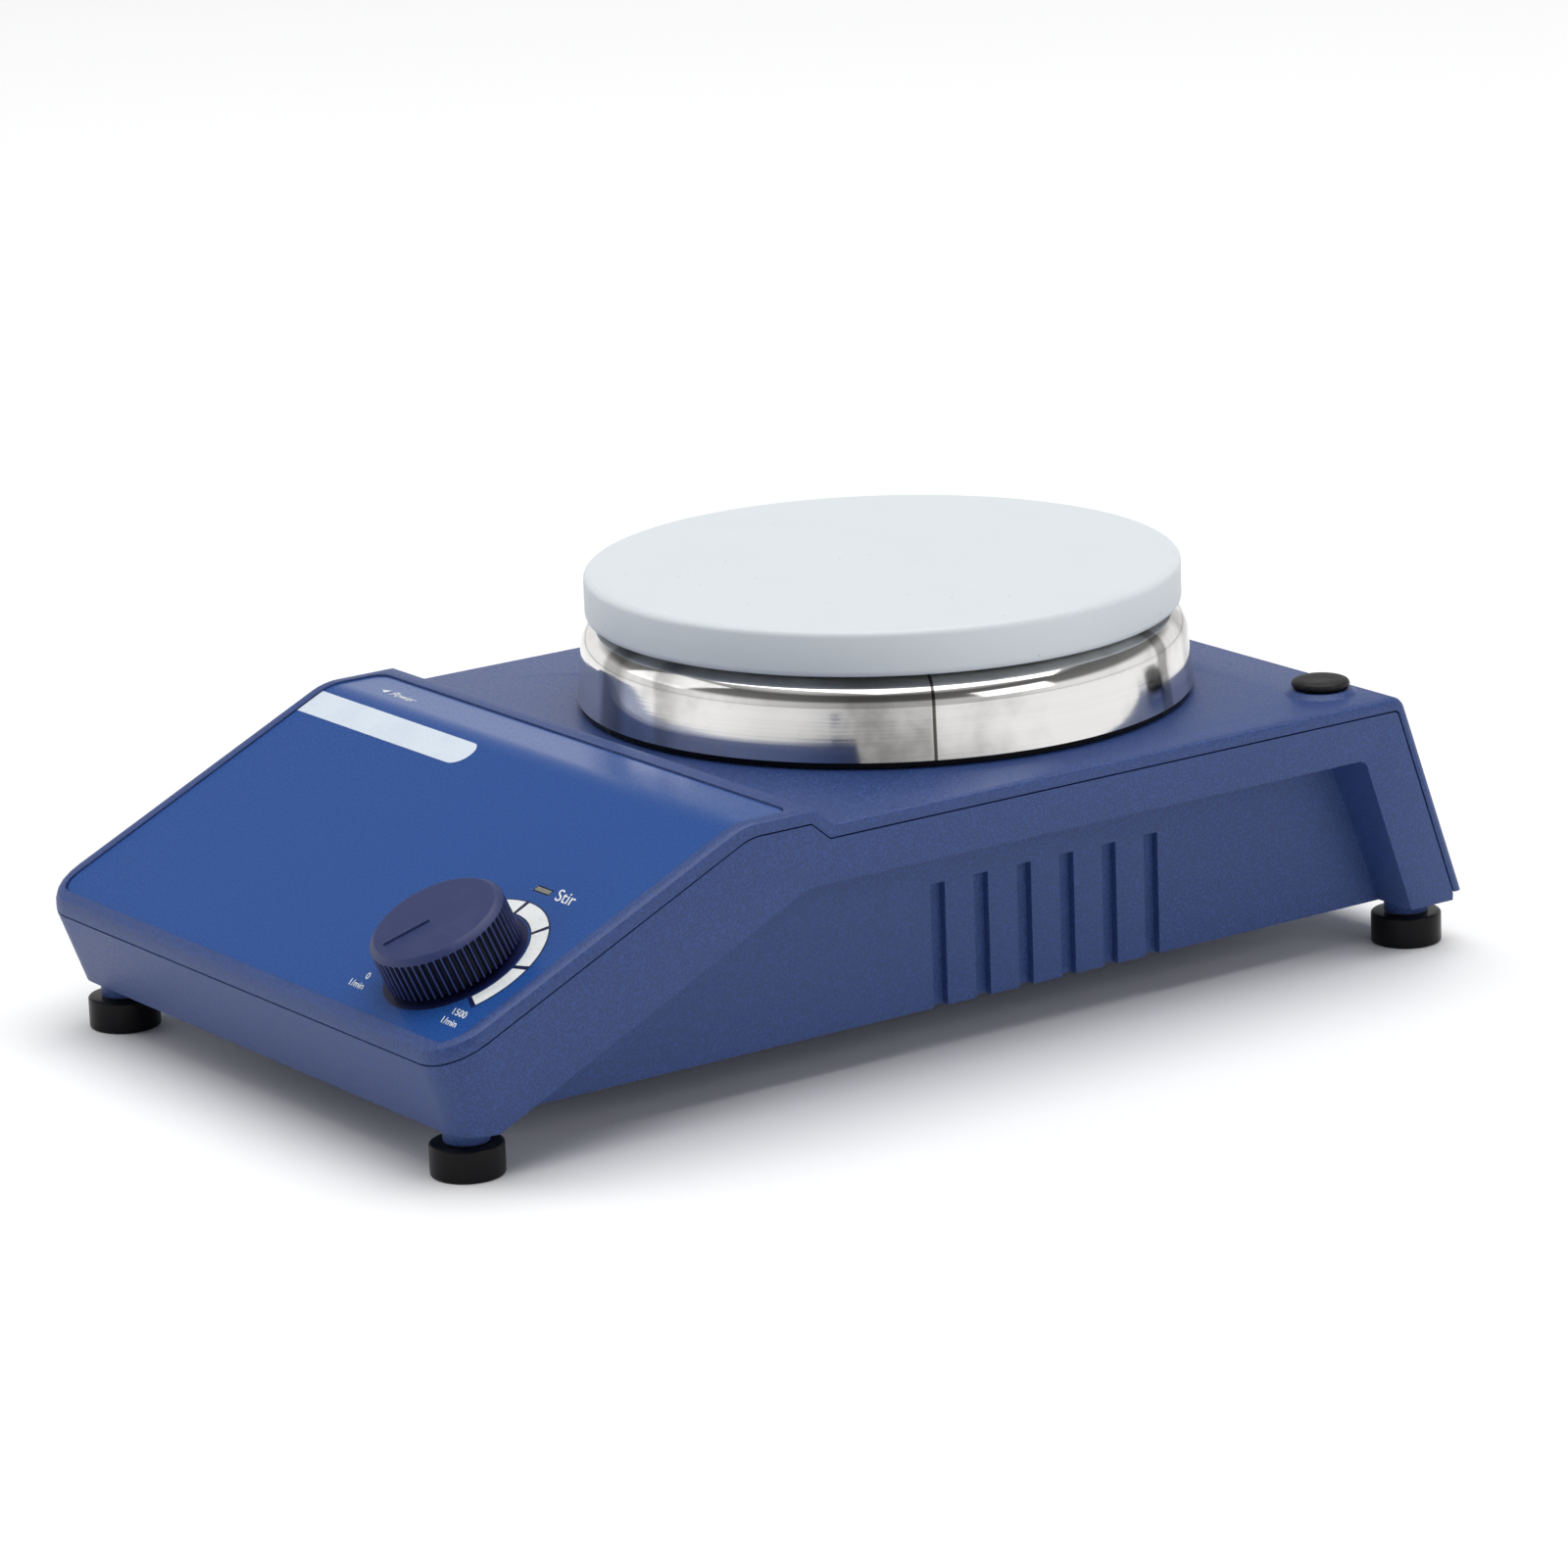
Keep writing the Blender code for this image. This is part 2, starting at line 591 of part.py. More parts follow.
def make_knob():
    axis = bpy.data.objects.new("knob_axis", None)
    bpy.data.collections["magnetic_stirrer"].objects.link(axis)
    axis.matrix_world = PANEL @ Matrix.Translation(Vector((KNOB_X, KNOB_S, 0)) * MM)
    bpy.context.view_layer.update()
    hub = axis.matrix_world.copy()

    base = KNOB_BASE - FILM_SINK
    wall_r = KNOB_R - 1.8
    roof = KNOB_TOP - 2
    bore_r = POT_SHAFT_R + GAP
    bore_top = KNOB_TOP - 3
    hub_low = 4.2
    profile = [(0, KNOB_TOP), (KNOB_R - 1.5, KNOB_TOP), (KNOB_R, KNOB_SIDE_TOP), (KNOB_R, base + 0.4),
               (KNOB_R - 0.4, base), (wall_r, base), (wall_r, roof), (5.3, roof), (5.3, hub_low),
               (bore_r, hub_low), (bore_r, bore_top), (0, bore_top)]
    knob = turned("control_knob", profile, (0, 0, 0), KNOB_BLUE, hub, sides=48)
    along = Matrix.Rotation(KNOB_POINTER, 4, "Z")
    pointer = block("add_pointer", (9.6, 0.7, 1.0), (5.8, 0, KNOB_TOP), frame=hub @ along, cutter=True)
    boolean(knob, pointer, "UNION")
    length = 15
    middle = (0, 0, bore_top - GAP - length / 2)
    shaft = rod("pot_shaft", POT_SHAFT_R, length, middle, ZINC, hub, sides=20)
    for piece in (knob, pointer, shaft):
        carry(piece, axis)

    can_top = -COVER_WALL - 0.75
    can_low = can_top - 9
    bush = POT_SHAFT_R + FIT
    can = [(0, can_top - 7), (bush, can_top - 7), (bush, 3.6), (POT_BUSH_R, 3.6), (POT_BUSH_R, can_top),
           (8.5, can_top), (8.5, can_low), (0, can_low)]
    turned("pot_body", can, (KNOB_X, KNOB_S, 0), ZINC, PANEL, sides=20)
    seat = (KNOB_X, KNOB_S, GAP - FILM_SINK + 1.1)
    nut = rod("pot_nut", 5.8, 2.2, seat, BRASS, PANEL, sides=6)
    boolean(nut, rod("cut_nut", POT_BUSH_R + GAP, 6, seat, frame=PANEL, cutter=True, sides=20))


def carry(piece, axis):
    """Hang a piece on a joint's axis without moving it."""
    place = piece.matrix_world.copy()
    piece.parent = axis
    piece.matrix_world = place


def make_plate():
    here = (0, PLATE_Y, 0)
    top = MAT_TOP_Z
    low = MAT_BOTTOM_Z
    mat = [(0, top), (MAT_R - 1.2, top), (MAT_R - 0.35, top - 0.35), (MAT_R, top - 1.2), (MAT_R, low + 1.5),
           (MAT_R - 0.6, low + 0.4), (MAT_R - 2, low), (0, low)]
    turned("silicone_mat", mat, here, WHITE_MAT, sides=56)
    foot_z = STEEL_FOOT_Z
    neck_r = 61.3
    outer = [(0, STEEL_TOP_Z), (58.6, STEEL_TOP_Z), (60.6, 72.1), (61.0, 71.6), (61.0, 70.1), (60.1, 69.8),
             (60.1, 69.0), (60.9, 68.6), (61.15, 67.6), (neck_r, 62), (STEEL_FOOT_R, foot_z)]
    roof = STEEL_TOP_Z - STEEL_WALL
    inner = [(STEEL_FOOT_R - STEEL_WALL, foot_z), (neck_r - STEEL_WALL, 62), (59.0, 68.5), (58.8, 70.4),
             (57.8, roof), (0, roof)]
    turned("steel_plate", outer + inner, here, STEEL, sides=48)
    seal = [(59.3, foot_z - GAP), (61.6, foot_z - GAP), (61.6, DECK_Z + GAP), (59.3, DECK_Z + GAP)]
    turned("plate_gasket", seal, here, RUBBER, sides=40, ring=True)
    low = DECK_Z + GAP
    high = roof - GAP
    post = [(0, high), (3.2, high), (3.2, low), (1.4, low), (1.4, low - 7), (0, low - 7)]
    for i, (x, y) in enumerate(plate_post_places(), 1):
        turned(f"plate_post_{i}", post, (x, y, 0), ZINC, sides=12)


def screw(name, shank, head, place):
    """A slotted screw that points up, with the underside of its head at the place."""
    body = turned(name, [(0, shank), (SCREW_R, shank - 0.6), (SCREW_R, 0), (SCREW_HEAD_R, 0),
                         (SCREW_HEAD_R, -head * 0.6), (SCREW_HEAD_R * 0.8, -head), (0, -head)],
                  place, ZINC, sides=12)
    x, y, z = place
    slot = (SCREW_HEAD_R * 3, SCREW_HEAD_R * 0.3, head * 0.9)
    return boolean(body, block(f"cut_{name}", slot, (x, y, z - head), cutter=True))


def make_feet():
    well_r = SCREW_HEAD_R + 0.5
    well_top = 3.0
    bore_r = 1.9
    profile = [(bore_r, FOOT_H), (FOOT_R - 0.3, FOOT_H), (FOOT_R, FOOT_H - 0.3), (FOOT_R, 0.4),
               (FOOT_R - 0.4, 0), (well_r, 0), (well_r, well_top), (bore_r, well_top)]
    for name, x, y in foot_places():
        turned(f"foot_{name}", profile, (x, y, 0), RUBBER, sides=24, ring=True)
        screw(f"foot_screw_{name}", 9.5, 1.9, (x, y, well_top - GAP))
    for i, (x, y) in enumerate(cover_post_places(), 1):
        screw(f"cover_screw_{i}", 11, 1.8, (x, y, BASE_Z - GAP))


def make_rod_socket():
    here = (SOCKET_X, SOCKET_Y, DECK_Z)
    collar_top = -COVER_WALL - GAP
    collar_low = collar_top - 1.7
    low = -8.2
    sleeve = [(SOCKET_R, -0.5), (SOCKET_NECK_R, -0.5), (SOCKET_NECK_R, collar_top), (7.5, collar_top),
              (7.5, collar_low), (SOCKET_NECK_R, collar_low), (SOCKET_NECK_R, low), (SOCKET_R, low)]
    turned("rod_socket", sleeve, here, ZINC, sides=20, ring=True)
    stem_r = SOCKET_R - GAP
    rest = 0.9 + GAP
    plug = [(0, 2.9), (5.1, 2.9), (5.75, 2.5), (5.9, 1.9), (5.9, 1.4), (5.6, rest), (stem_r, rest),
            (stem_r, -6), (stem_r - 0.7, -7), (0, -7)]
    turned("rod_plug", plug, here, RUBBER, sides=24)


def make_stator():
    stator = block("stator_stack", (60, 66, STACK_H), (0, PLATE_Y + 11, MOTOR_Z), IRON)
    through = STACK_H + 4
    cuts = [rod("bore", ROTOR_R + AIR_GAP, through, (0, PLATE_Y, MOTOR_Z), cutter=True),
            block("coil_window", (32, 13, through), (0, PLATE_Y + 25.0, MOTOR_Z), cutter=True)]
    boolean(stator, join_cutters("cut_stator", cuts))
    middle = (0, PLATE_Y + 37.75, MOTOR_Z)
    coil = block("motor_coil", (29, 23, 28), middle, COPPER, bevel=2.5)
    limb = (40, 12.5 + 2 * GAP, STACK_H + 2 * GAP)
    boolean(coil, block("cut_coil", limb, middle, cutter=True))


def make_motor():
    low = MOTOR_Z - STACK_H / 2
    high = low + STACK_H
    make_stator()
    bush_r = 5.0
    bush_half = 2.4
    bore_r = SHAFT_R + FIT
    bush = [(bore_r, bush_half), (bush_r, bush_half), (bush_r, -bush_half), (bore_r, -bush_half)]
    for name, z in (("upper", high + 3.3), ("lower", low - 3.3)):
        here = (0, PLATE_Y, z)
        bracket = block(f"motor_bracket_{name}", (56, 15, 2), here, ZINC, bevel=0.5)
        boolean(bracket, rod(f"cut_bracket_{name}", bush_r + GAP, 10, here, cutter=True))
        turned(f"motor_bush_{name}", bush, here, BRASS, sides=20, ring=True)
    plate_z = high + 5.6
    plate = block("motor_plate", (92, 24, 1.6), (0, PLATE_Y, plate_z), ZINC, bevel=0.4)
    boolean(plate, rod("cut_motor_plate", bush_r + 1.5, 10, (0, PLATE_Y, plate_z), cutter=True))

    bolts = [(-24, PLATE_Y), (24, PLATE_Y)]
    holes = [rod(f"bolt_{x}", SCREW_HOLE_R, 60, (x, y, MOTOR_Z), cutter=True, sides=12) for x, y in bolts]
    holes = join_cutters("cut_bolts", holes)
    for name in ("stator_stack", "motor_bracket_upper", "motor_bracket_lower", "motor_plate"):
        boolean(bpy.data.objects[name], holes)
    tip = -STACK_H - 11.4
    bolt = [(0, 1.8), (2.8, 1.8), (2.8, 0), (SCREW_R, 0), (SCREW_R, tip), (0, tip)]
    for i, (x, y) in enumerate(bolts, 1):
        turned(f"motor_bolt_{i}", bolt, (x, y, plate_z + 0.8 + GAP), ZINC, sides=12)
    base = plate_z + 0.8 + GAP
    top = UNDER_DECK_Z - GAP
    grommet = [(0, top), (5, top), (4.2, (base + top) / 2), (5, base), (0, base)]
    for i, x in enumerate((-38, 38), 1):
        turned(f"motor_grommet_{i}", grommet, (x, PLATE_Y, 0), RUBBER, sides=16)


def make_rotor():
    here = (0, PLATE_Y, 0)
    low = MOTOR_Z - STACK_H / 2
    high = low + STACK_H
    shaft_top = CARRIER_Z - 0.4
    shaft = [(0, shaft_top), (SHAFT_R, shaft_top), (SHAFT_R, low - 8), (0, low - 8)]
    turned("motor_shaft", shaft, here, STEEL, sides=20)
    core = [(SHAFT_R + GAP, high), (ROTOR_R, high), (ROTOR_R, low), (SHAFT_R + GAP, low)]
    turned("rotor_core", core, here, IRON, sides=28, ring=True)
    arm_h = 4
    arm = (2 * MAGNET_X + 22, 20, arm_h)
    carrier = block("magnet_carrier", arm, (0, PLATE_Y, CARRIER_Z + arm_h / 2), ZINC, bevel=0.8)
    boolean(carrier, rod("add_hub", 6.5, 8, (0, PLATE_Y, CARRIER_Z), cutter=True), "UNION")
    boolean(carrier, rod("cut_hub", SHAFT_R + GAP, 6, (0, PLATE_Y, CARRIER_Z - 3), cutter=True))
    disc = [(0, 4.6), (MAGNET_R - 0.5, 4.6), (MAGNET_R, 4.1), (MAGNET_R, 0), (0, 0)]
    for i, side in enumerate((-1, 1), 1):
        place = (side * MAGNET_X, PLATE_Y, CARRIER_Z + arm_h + GAP)
        turned(f"drive_magnet_{i}", disc, place, MAGNET, sides=20)


def make_inlet():
    well_up = INLET_UP - 4.0
    drawer_up = INLET_UP + 7.3
    body = block("inlet_housing", (27.4, 23.4, 16), (INLET_X, INLET_UP, -7.0), BLACK, REAR)
    flange = block("add_flange", (31, 27.5, 1.6), (INLET_X, INLET_UP, 1.1), frame=REAR, cutter=True)
    boolean(body, flange, "UNION")
    deep = 20
    for name, size, up, middle in (("cut_inlet_well", (22, 13, deep), well_up, -1.5),
                                   ("cut_fuse_well", (22, 6.6, deep), drawer_up, -1.5),
                                   ("cut_pin_slots", (18, 8.5, 8), well_up, -14)):
        boolean(body, block(name, size, (INLET_X, up, middle), frame=REAR, cutter=True))
    pin_low = -19.3
    pin_high = -2.7
    pin = (1.8, 3.6, pin_high - pin_low)
    for name, x, up in (("line", -5, 1.8), ("neutral", 5, 1.8), ("earth", 0, -2.4)):
        place = (INLET_X + x, well_up + up, (pin_low + pin_high) / 2)
        block(f"inlet_pin_{name}", pin, place, BRASS, REAR, bevel=0.3)
    drawer = block("fuse_drawer", (21.2, 5.8, 9.5), (INLET_X, drawer_up, -3.0), BLACK, REAR, bevel=0.4)
    seat = block("cut_fuse_seat", (17, 4.6, 12), (INLET_X, drawer_up + 0.7, -7.2), frame=REAR, cutter=True)
    boolean(drawer, seat)
    rod("mains_fuse", 1.5, 15, (INLET_X, drawer_up + 0.2, -5.0), GLASS, REAR, sides=12,
        turn=(0, math.pi / 2, 0))


def make_switch():
    wall = -HALF_WIDTH
    here = (wall + 2.0, SWITCH_Y, SWITCH_Z)
    frame = block("switch_frame", (1.0, *SWITCH_FRAME), here, BLACK)
    body = block("add_switch_body", (9, *SWITCH_BODY), (wall + 6.5, SWITCH_Y, SWITCH_Z), cutter=True)
    boolean(frame, body, "UNION")
    boolean(frame, block("cut_switch_well", (12, 11.4, 6.2), here, cutter=True))
    pivot = (wall + 4.6, SWITCH_Y, SWITCH_Z)
    axis = bpy.data.objects.new("rocker_axis", None)
    bpy.data.collections["magnetic_stirrer"].objects.link(axis)
    axis.location = Vector(pivot) * MM
    bpy.context.view_layer.update()
    face = [(3.6, -1.6), (5.1, -1.6), (5.1, 2.6), (0, 3.4), (-5.1, 2.6), (-5.1, -1.6), (-3.6, -1.6)]
    tilt = Matrix.Rotation(-ROCKER_TILT, 4, "Z")
    turn = Matrix.Rotation(math.pi / 2, 4, "Z") @ tilt
    carry(outline_solid("power_rocker", face, 5.6, pivot, turn, BLACK), axis)


def make_electronics():
    board = block("speed_board", (72, 48, 1.6), (0, -56, BOARD_Z + 0.8), BOARD)
    holes = [rod(f"board_bolt_{i}", 1.5, 8, (x, y, BOARD_Z), cutter=True, sides=12)
             for i, (x, y) in enumerate(board_post_places())]
    boolean(board, join_cutters("cut_board", holes))
    top = BOARD_Z + 1.6 + GAP
    tall = 13
    block("heat_sink", (24, 3, tall), (-18, -40, top + tall / 2), ZINC)
    rod("mains_capacitor", 5.5, tall, (8, -48, top + tall / 2), KNOB_BLUE, sides=16)
    block("terminal_block", (24, 8, 9), (16, -68, top + 4.5), TERMINAL_GREEN, bevel=0.4)
    supply = [(-22, 96, 15), (-46, 60, 14.5), (-46, 10, 14.5), (-44, -30, 14.8), (-40, -70, 15.5),
              (-20, -84, 16), (10, -84, 22), (16, -74, 24)]
    wire("lead_inlet_to_board", supply, 1.2, RED_LEAD)
    motor = [(22, -63.4, 22), (32, -46, 26), (47, -20, 26), (50, 20, 26), (46, 52, 36), (32, 66, 43),
             (22, 70.3, 43), (15.2, 70.3, 42)]
    wire("lead_board_to_motor", motor, 1.0, BLUE_LEAD)


def main():
    clear_scene()
    make_upper_cover()
    make_lower_housing()
    make_panel()
    make_knob()
    make_plate()
    make_feet()
    make_rod_socket()
    make_motor()
    make_rotor()
    make_inlet()
    make_switch()
    make_electronics()


main()
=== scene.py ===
import json
import math

import bmesh
import bpy
from mathutils import Matrix, Vector


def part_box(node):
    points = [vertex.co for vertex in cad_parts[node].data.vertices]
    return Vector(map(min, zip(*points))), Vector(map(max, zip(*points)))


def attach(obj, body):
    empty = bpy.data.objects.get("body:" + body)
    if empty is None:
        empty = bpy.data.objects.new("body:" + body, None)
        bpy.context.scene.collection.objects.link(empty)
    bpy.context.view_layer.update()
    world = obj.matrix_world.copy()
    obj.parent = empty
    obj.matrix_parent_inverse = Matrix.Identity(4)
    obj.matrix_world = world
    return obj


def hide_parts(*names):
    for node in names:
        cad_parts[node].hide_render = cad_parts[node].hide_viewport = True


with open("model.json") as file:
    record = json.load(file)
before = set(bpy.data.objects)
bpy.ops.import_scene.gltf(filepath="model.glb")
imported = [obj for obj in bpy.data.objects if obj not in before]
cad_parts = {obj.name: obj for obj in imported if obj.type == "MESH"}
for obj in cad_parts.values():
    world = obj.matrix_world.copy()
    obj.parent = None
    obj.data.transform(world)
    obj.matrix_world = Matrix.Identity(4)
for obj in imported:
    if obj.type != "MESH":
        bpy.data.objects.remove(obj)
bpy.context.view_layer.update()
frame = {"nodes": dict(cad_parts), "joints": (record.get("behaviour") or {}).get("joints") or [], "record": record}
nodes = frame["nodes"]
joints = {joint["name"]: joint for joint in frame["joints"]}
mm = 0.001
print("loaded", len(nodes), "nodes")


class Value:
    # a socket that can be used in a sum
    def __init__(self, finish, socket):
        self.finish = finish
        self.socket = socket

    def math(self, operation, first, second):
        return self.finish.node("ShaderNodeMath", {"operation": operation}, {0: first, 1: second})

    def __add__(self, other):
        return self.math("ADD", self, other)

    def __radd__(self, other):
        return self.math("ADD", other, self)

    def __sub__(self, other):
        return self.math("SUBTRACT", self, other)

    def __rsub__(self, other):
        return self.math("SUBTRACT", other, self)

    def __mul__(self, other):
        return self.math("MULTIPLY", self, other)

    def __rmul__(self, other):
        return self.math("MULTIPLY", other, self)

    def __truediv__(self, other):
        return self.math("DIVIDE", self, other)

    def __rtruediv__(self, other):
        return self.math("DIVIDE", other, self)

    def __pow__(self, other):
        return self.math("POWER", self, other)


class Finish:
    # one material: its Principled shader, and the object's own coordinates for its patterns
    def __init__(self, name, colour, roughness, metallic=0.0, **fixed):
        self.made = bpy.data.materials.new(name)
        self.made.use_nodes = True
        self.tree = self.made.node_tree
        self.shader = self.tree.nodes["Principled BSDF"]
        self.shader.inputs["Base Color"].default_value = (*colour, 1)
        self.shader.inputs["Roughness"].default_value = roughness
        self.shader.inputs["Metallic"].default_value = metallic
        for socket, value in fixed.items():
            self.shader.inputs[socket.replace("_", " ")].default_value = value
        self.place = self.node("ShaderNodeTexCoord", output="Object")

    def node(self, kind, settings=None, values=None, output=0):
        made = self.tree.nodes.new(kind)
        for key, setting in (settings or {}).items():
            if key == "stops":
                ramp = made.color_ramp
                while len(ramp.elements) < len(setting):
                    ramp.elements.new(0.5)
                for element, (position, colour) in zip(ramp.elements, setting):
                    element.position = position
                    element.color = (*colour, 1)
            else:
                setattr(made, key, setting)
        for key, value in (values or {}).items():
            if isinstance(value, Value):
                self.tree.links.new(value.socket, made.inputs[key])
            else:
                made.inputs[key].default_value = value
        return Value(self, made.outputs[output])

    def feed(self, **sockets):
        for name, value in sockets.items():
            self.tree.links.new(value.socket, self.shader.inputs[name.replace("_", " ")])

    def mix(self, factor, first, second):
        values = {0: factor, 6: first, 7: second}
        for key in (6, 7):
            if isinstance(values[key], tuple):
                values[key] = (*values[key], 1)
        return self.node("ShaderNodeMix", {"data_type": "RGBA"}, values, output=2)

    def noise(self, scale, detail=2.0, roughness=0.5, where=None):
        values = {"Vector": where or self.place, "Scale": scale, "Detail": detail,
                  "Roughness": roughness}
        return self.node("ShaderNodeTexNoise", {}, values)

    def cells(self, scale, output="Distance"):
        return self.node("ShaderNodeTexVoronoi", {}, {"Vector": self.place, "Scale": scale}, output)

    def mapped(self, centre=(0, 0, 0), scale=(1, 1, 1), turn=(0, 0, 0)):
        # the object's own coordinates with the pattern's centre at the given point
        moved = self.node("ShaderNodeVectorMath", {"operation": "SUBTRACT"}, {0: self.place, 1: centre})
        return self.node("ShaderNodeMapping", {}, {"Vector": moved, "Rotation": turn, "Scale": scale})

    def split(self, where):
        return [self.node("ShaderNodeSeparateXYZ", {}, {0: where}, axis) for axis in ("X", "Y", "Z")]

    def bump(self, height, distance, strength):
        values = {"Height": height, "Distance": distance, "Strength": strength}
        return self.node("ShaderNodeBump", {}, values)

    def step(self, value, low, high):
        # 0 below low, 1 above high, smooth between
        settings = {"interpolation_type": "SMOOTHSTEP"}
        return self.node("ShaderNodeMapRange", settings, {"Value": value, 1: low, 2: high})


def powderBlue():
    # fine-grained matt blue moulding, its tiny peaks a little paler
    base = (0.024, 0.053, 0.178)
    finish = Finish("powder_blue", base, 0.42, Specular_IOR_Level=0.36)
    grain = finish.noise(2500, 3, 0.6)
    pits = finish.cells(1900)
    broad = finish.noise(22, 3)
    height = grain * 0.75 + pits * 0.6
    pale = finish.step(height, 0.52, 0.92)
    body = finish.mix(pale, tuple(c * 0.86 for c in base), tuple(c * 1.30 for c in base))
    shade = finish.mix(broad, (0.95, 0.95, 0.96), (1.04, 1.04, 1.03))
    settings = {"data_type": "RGBA", "blend_type": "MULTIPLY"}
    tinted = finish.node("ShaderNodeMix", settings, {0: 1.0, 6: body, 7: shade}, output=2)
    finish.feed(Base_Color=tinted, Roughness=0.37 + pale * 0.14,
                Normal=finish.bump(height, 0.00013, 0.7))
    return finish.made


def glossFilm():
    # printed polyester film: deep blue under a clear half-gloss face with a faint slow ripple
    finish = Finish("gloss_film", (0.013, 0.066, 0.262), 0.26,
                    Specular_IOR_Level=0.4, Coat_Roughness=0.16)
    peel = finish.noise(45, 1)
    fine = finish.noise(2600, 2)
    ink = finish.mix(fine, (0.0125, 0.0648, 0.2570), (0.0141, 0.0678, 0.2680))
    finish.feed(Base_Color=ink, Roughness=0.25 + fine * 0.05, Coat_Weight=0.12 + fine * 0.06,
                Normal=finish.bump(peel, 0.00005, 0.3))
    return finish.made


def printInk(name, colour, worn):
    finish = Finish(name, colour, 0.32)
    thin = finish.noise(1800, 3)
    blotch = finish.noise(120, 3)
    faded = finish.mix(finish.step(thin * 0.5 + blotch * 0.5, 0.45, 0.62), colour, worn)
    finish.feed(Base_Color=faded, Roughness=0.28 + thin * 0.12, Normal=finish.bump(thin, 0.00001, 0.3))
    return finish.made


def knobNavy(axisPlace):
    # matt navy with painted shade, darker down the side and darkest in the grooves between the ridges, and a
    # painted highlight on the ridge crests
    base = (0.018, 0.029, 0.108)
    finish = Finish("knob_navy", base, 0.46, Specular_IOR_Level=0.36)
    turn = tuple(axisPlace.to_3x3().inverted().to_euler())
    x, y, z = finish.split(finish.mapped(tuple(axisPlace.translation), turn=turn))
    radius = (x * x + y * y) ** 0.5
    # painted shade: the side darker than the top, the grooves darker still
    side = finish.step(z, (knob["sideTop"] + 0.1) * mm, (knob["sideTop"] - 0.2) * mm)
    grooveShade = finish.step(radius, (knob["radius"] - 0.1) * mm, (knob["root"] + 0.1) * mm) * side
    grain = finish.noise(3600, 2)
    broad = finish.noise(160, 3)
    body = finish.mix(grain, tuple(c * 0.86 for c in base), tuple(c * 1.14 for c in base))
    rub = finish.step(broad, 0.52, 0.7)
    topped = finish.mix(rub * 0.25, body, (0.045, 0.056, 0.15))
    lower = finish.mix(side * 0.3, topped, (0.004, 0.008, 0.06))
    # painted highlight: paler ridge crests
    crestHighlight = finish.step(radius, (knob["radius"] - 0.16) * mm, (knob["radius"] - 0.04) * mm) * side
    ridged = finish.mix(crestHighlight * 0.7, lower, (0.036, 0.056, 0.19))
    finish.feed(Base_Color=finish.mix(grooveShade, ridged, (0.001, 0.002, 0.012)),
                Roughness=0.40 + grain * 0.12, Normal=finish.bump(grain, 0.00004, 0.5))
    return finish.made


def matWhite():
    # pale silicone with a few moulded-in dark specks and very soft mottling
    base = (0.61, 0.655, 0.68)
    finish = Finish("mat_white", base, 0.42, Specular_IOR_Level=0.35)
    mottle = finish.noise(60, 4, 0.6)
    body = finish.mix(mottle, tuple(c * 0.975 for c in base), tuple(c * 1.025 for c in base))
    dots = finish.cells(260)
    rare = finish.noise(140, 0)
    speck = finish.step(dots, 0.10, 0.04) * finish.step(rare, 0.60, 0.66)
    skin = finish.noise(1400, 2)
    finish.feed(Base_Color=finish.mix(speck * 0.55, body, (0.33, 0.34, 0.35)),
                Roughness=0.38 + mottle * 0.08 + speck * 0.2,
                Normal=finish.bump(skin - speck, 0.00003, 0.35))
    return finish.made


def polishedSteel(name, centre, tone=0.78, reflectionFans=None, seam=None):
    # spun and polished: hair lines run round the piece, with faint stains; the darker sectors are painted dark
    # reflections, and the seam is a thin dark line down the ring
    finish = Finish(name, (tone, tone * 0.985, tone * 0.95), 0.09, 1.0)
    x, y, z = finish.split(finish.mapped(centre))
    radius = (x * x + y * y) ** 0.5
    lines = finish.node("ShaderNodeCombineXYZ", {}, {0: x * 6, 1: y * 6, 2: (z + radius) * 3200})
    hair = finish.noise(1, 3, 0.6, where=lines)
    stain = finish.noise(45, 4, 0.65)
    warm = finish.step(stain, 0.42, 0.70)
    dark = warm * 0.25 + hair * 0.12
    # painted reflection: darker sectors round the ring, fixed in the object's own coordinates
    if reflectionFans:
        angle = finish.node("ShaderNodeMath", {"operation": "ARCTAN2"}, {0: y, 1: x})
        turn = angle / (2 * math.pi) + 0.5
        wave = turn + (stain - 0.5) * 0.012
        for start, end, softStart, softEnd, depth in reflectionFans:
            rise = finish.step(wave, start - softStart, start + softStart)
            fall = finish.step(wave, end + softEnd, end - softEnd)
            dark = dark + rise * fall * depth
        edge, core = 0.0012, 0.0005  # half widths of the seam's line, in turns
        line = finish.step(turn, seam - edge, seam - core) * finish.step(turn, seam + edge, seam + core)
        dark = dark + line * 0.7
    held = finish.node("ShaderNodeClamp", {}, {"Value": dark, "Min": 0.0, "Max": 1.0})
    light = (tone, tone * 0.99, tone * 0.975)
    body = finish.mix(held, light, (tone * 0.10, tone * 0.095, tone * 0.085))
    finish.feed(Base_Color=body, Roughness=0.05 + hair * 0.07 + warm * 0.06,
                Normal=finish.bump(hair, 0.00001, 0.35))
    return finish.made


def zincPlate(name="zinc_plate", tone=0.6, rough=0.3):
    finish = Finish(name, (tone, tone, tone * 1.03), rough, 1.0)
    spangle = finish.cells(420, output="Color")
    grain = finish.noise(1500, 3)
    cloud = finish.noise(90, 3)
    dull = (tone * 0.85, tone * 0.86, tone * 0.9)
    body = finish.mix(cloud, dull, (tone * 1.1, tone * 1.1, tone * 1.12))
    mild = finish.mix(0.08, body, spangle)
    finish.feed(Base_Color=mild, Roughness=rough - 0.05 + grain * 0.14,
                Normal=finish.bump(grain, 0.00002, 0.4))
    return finish.made


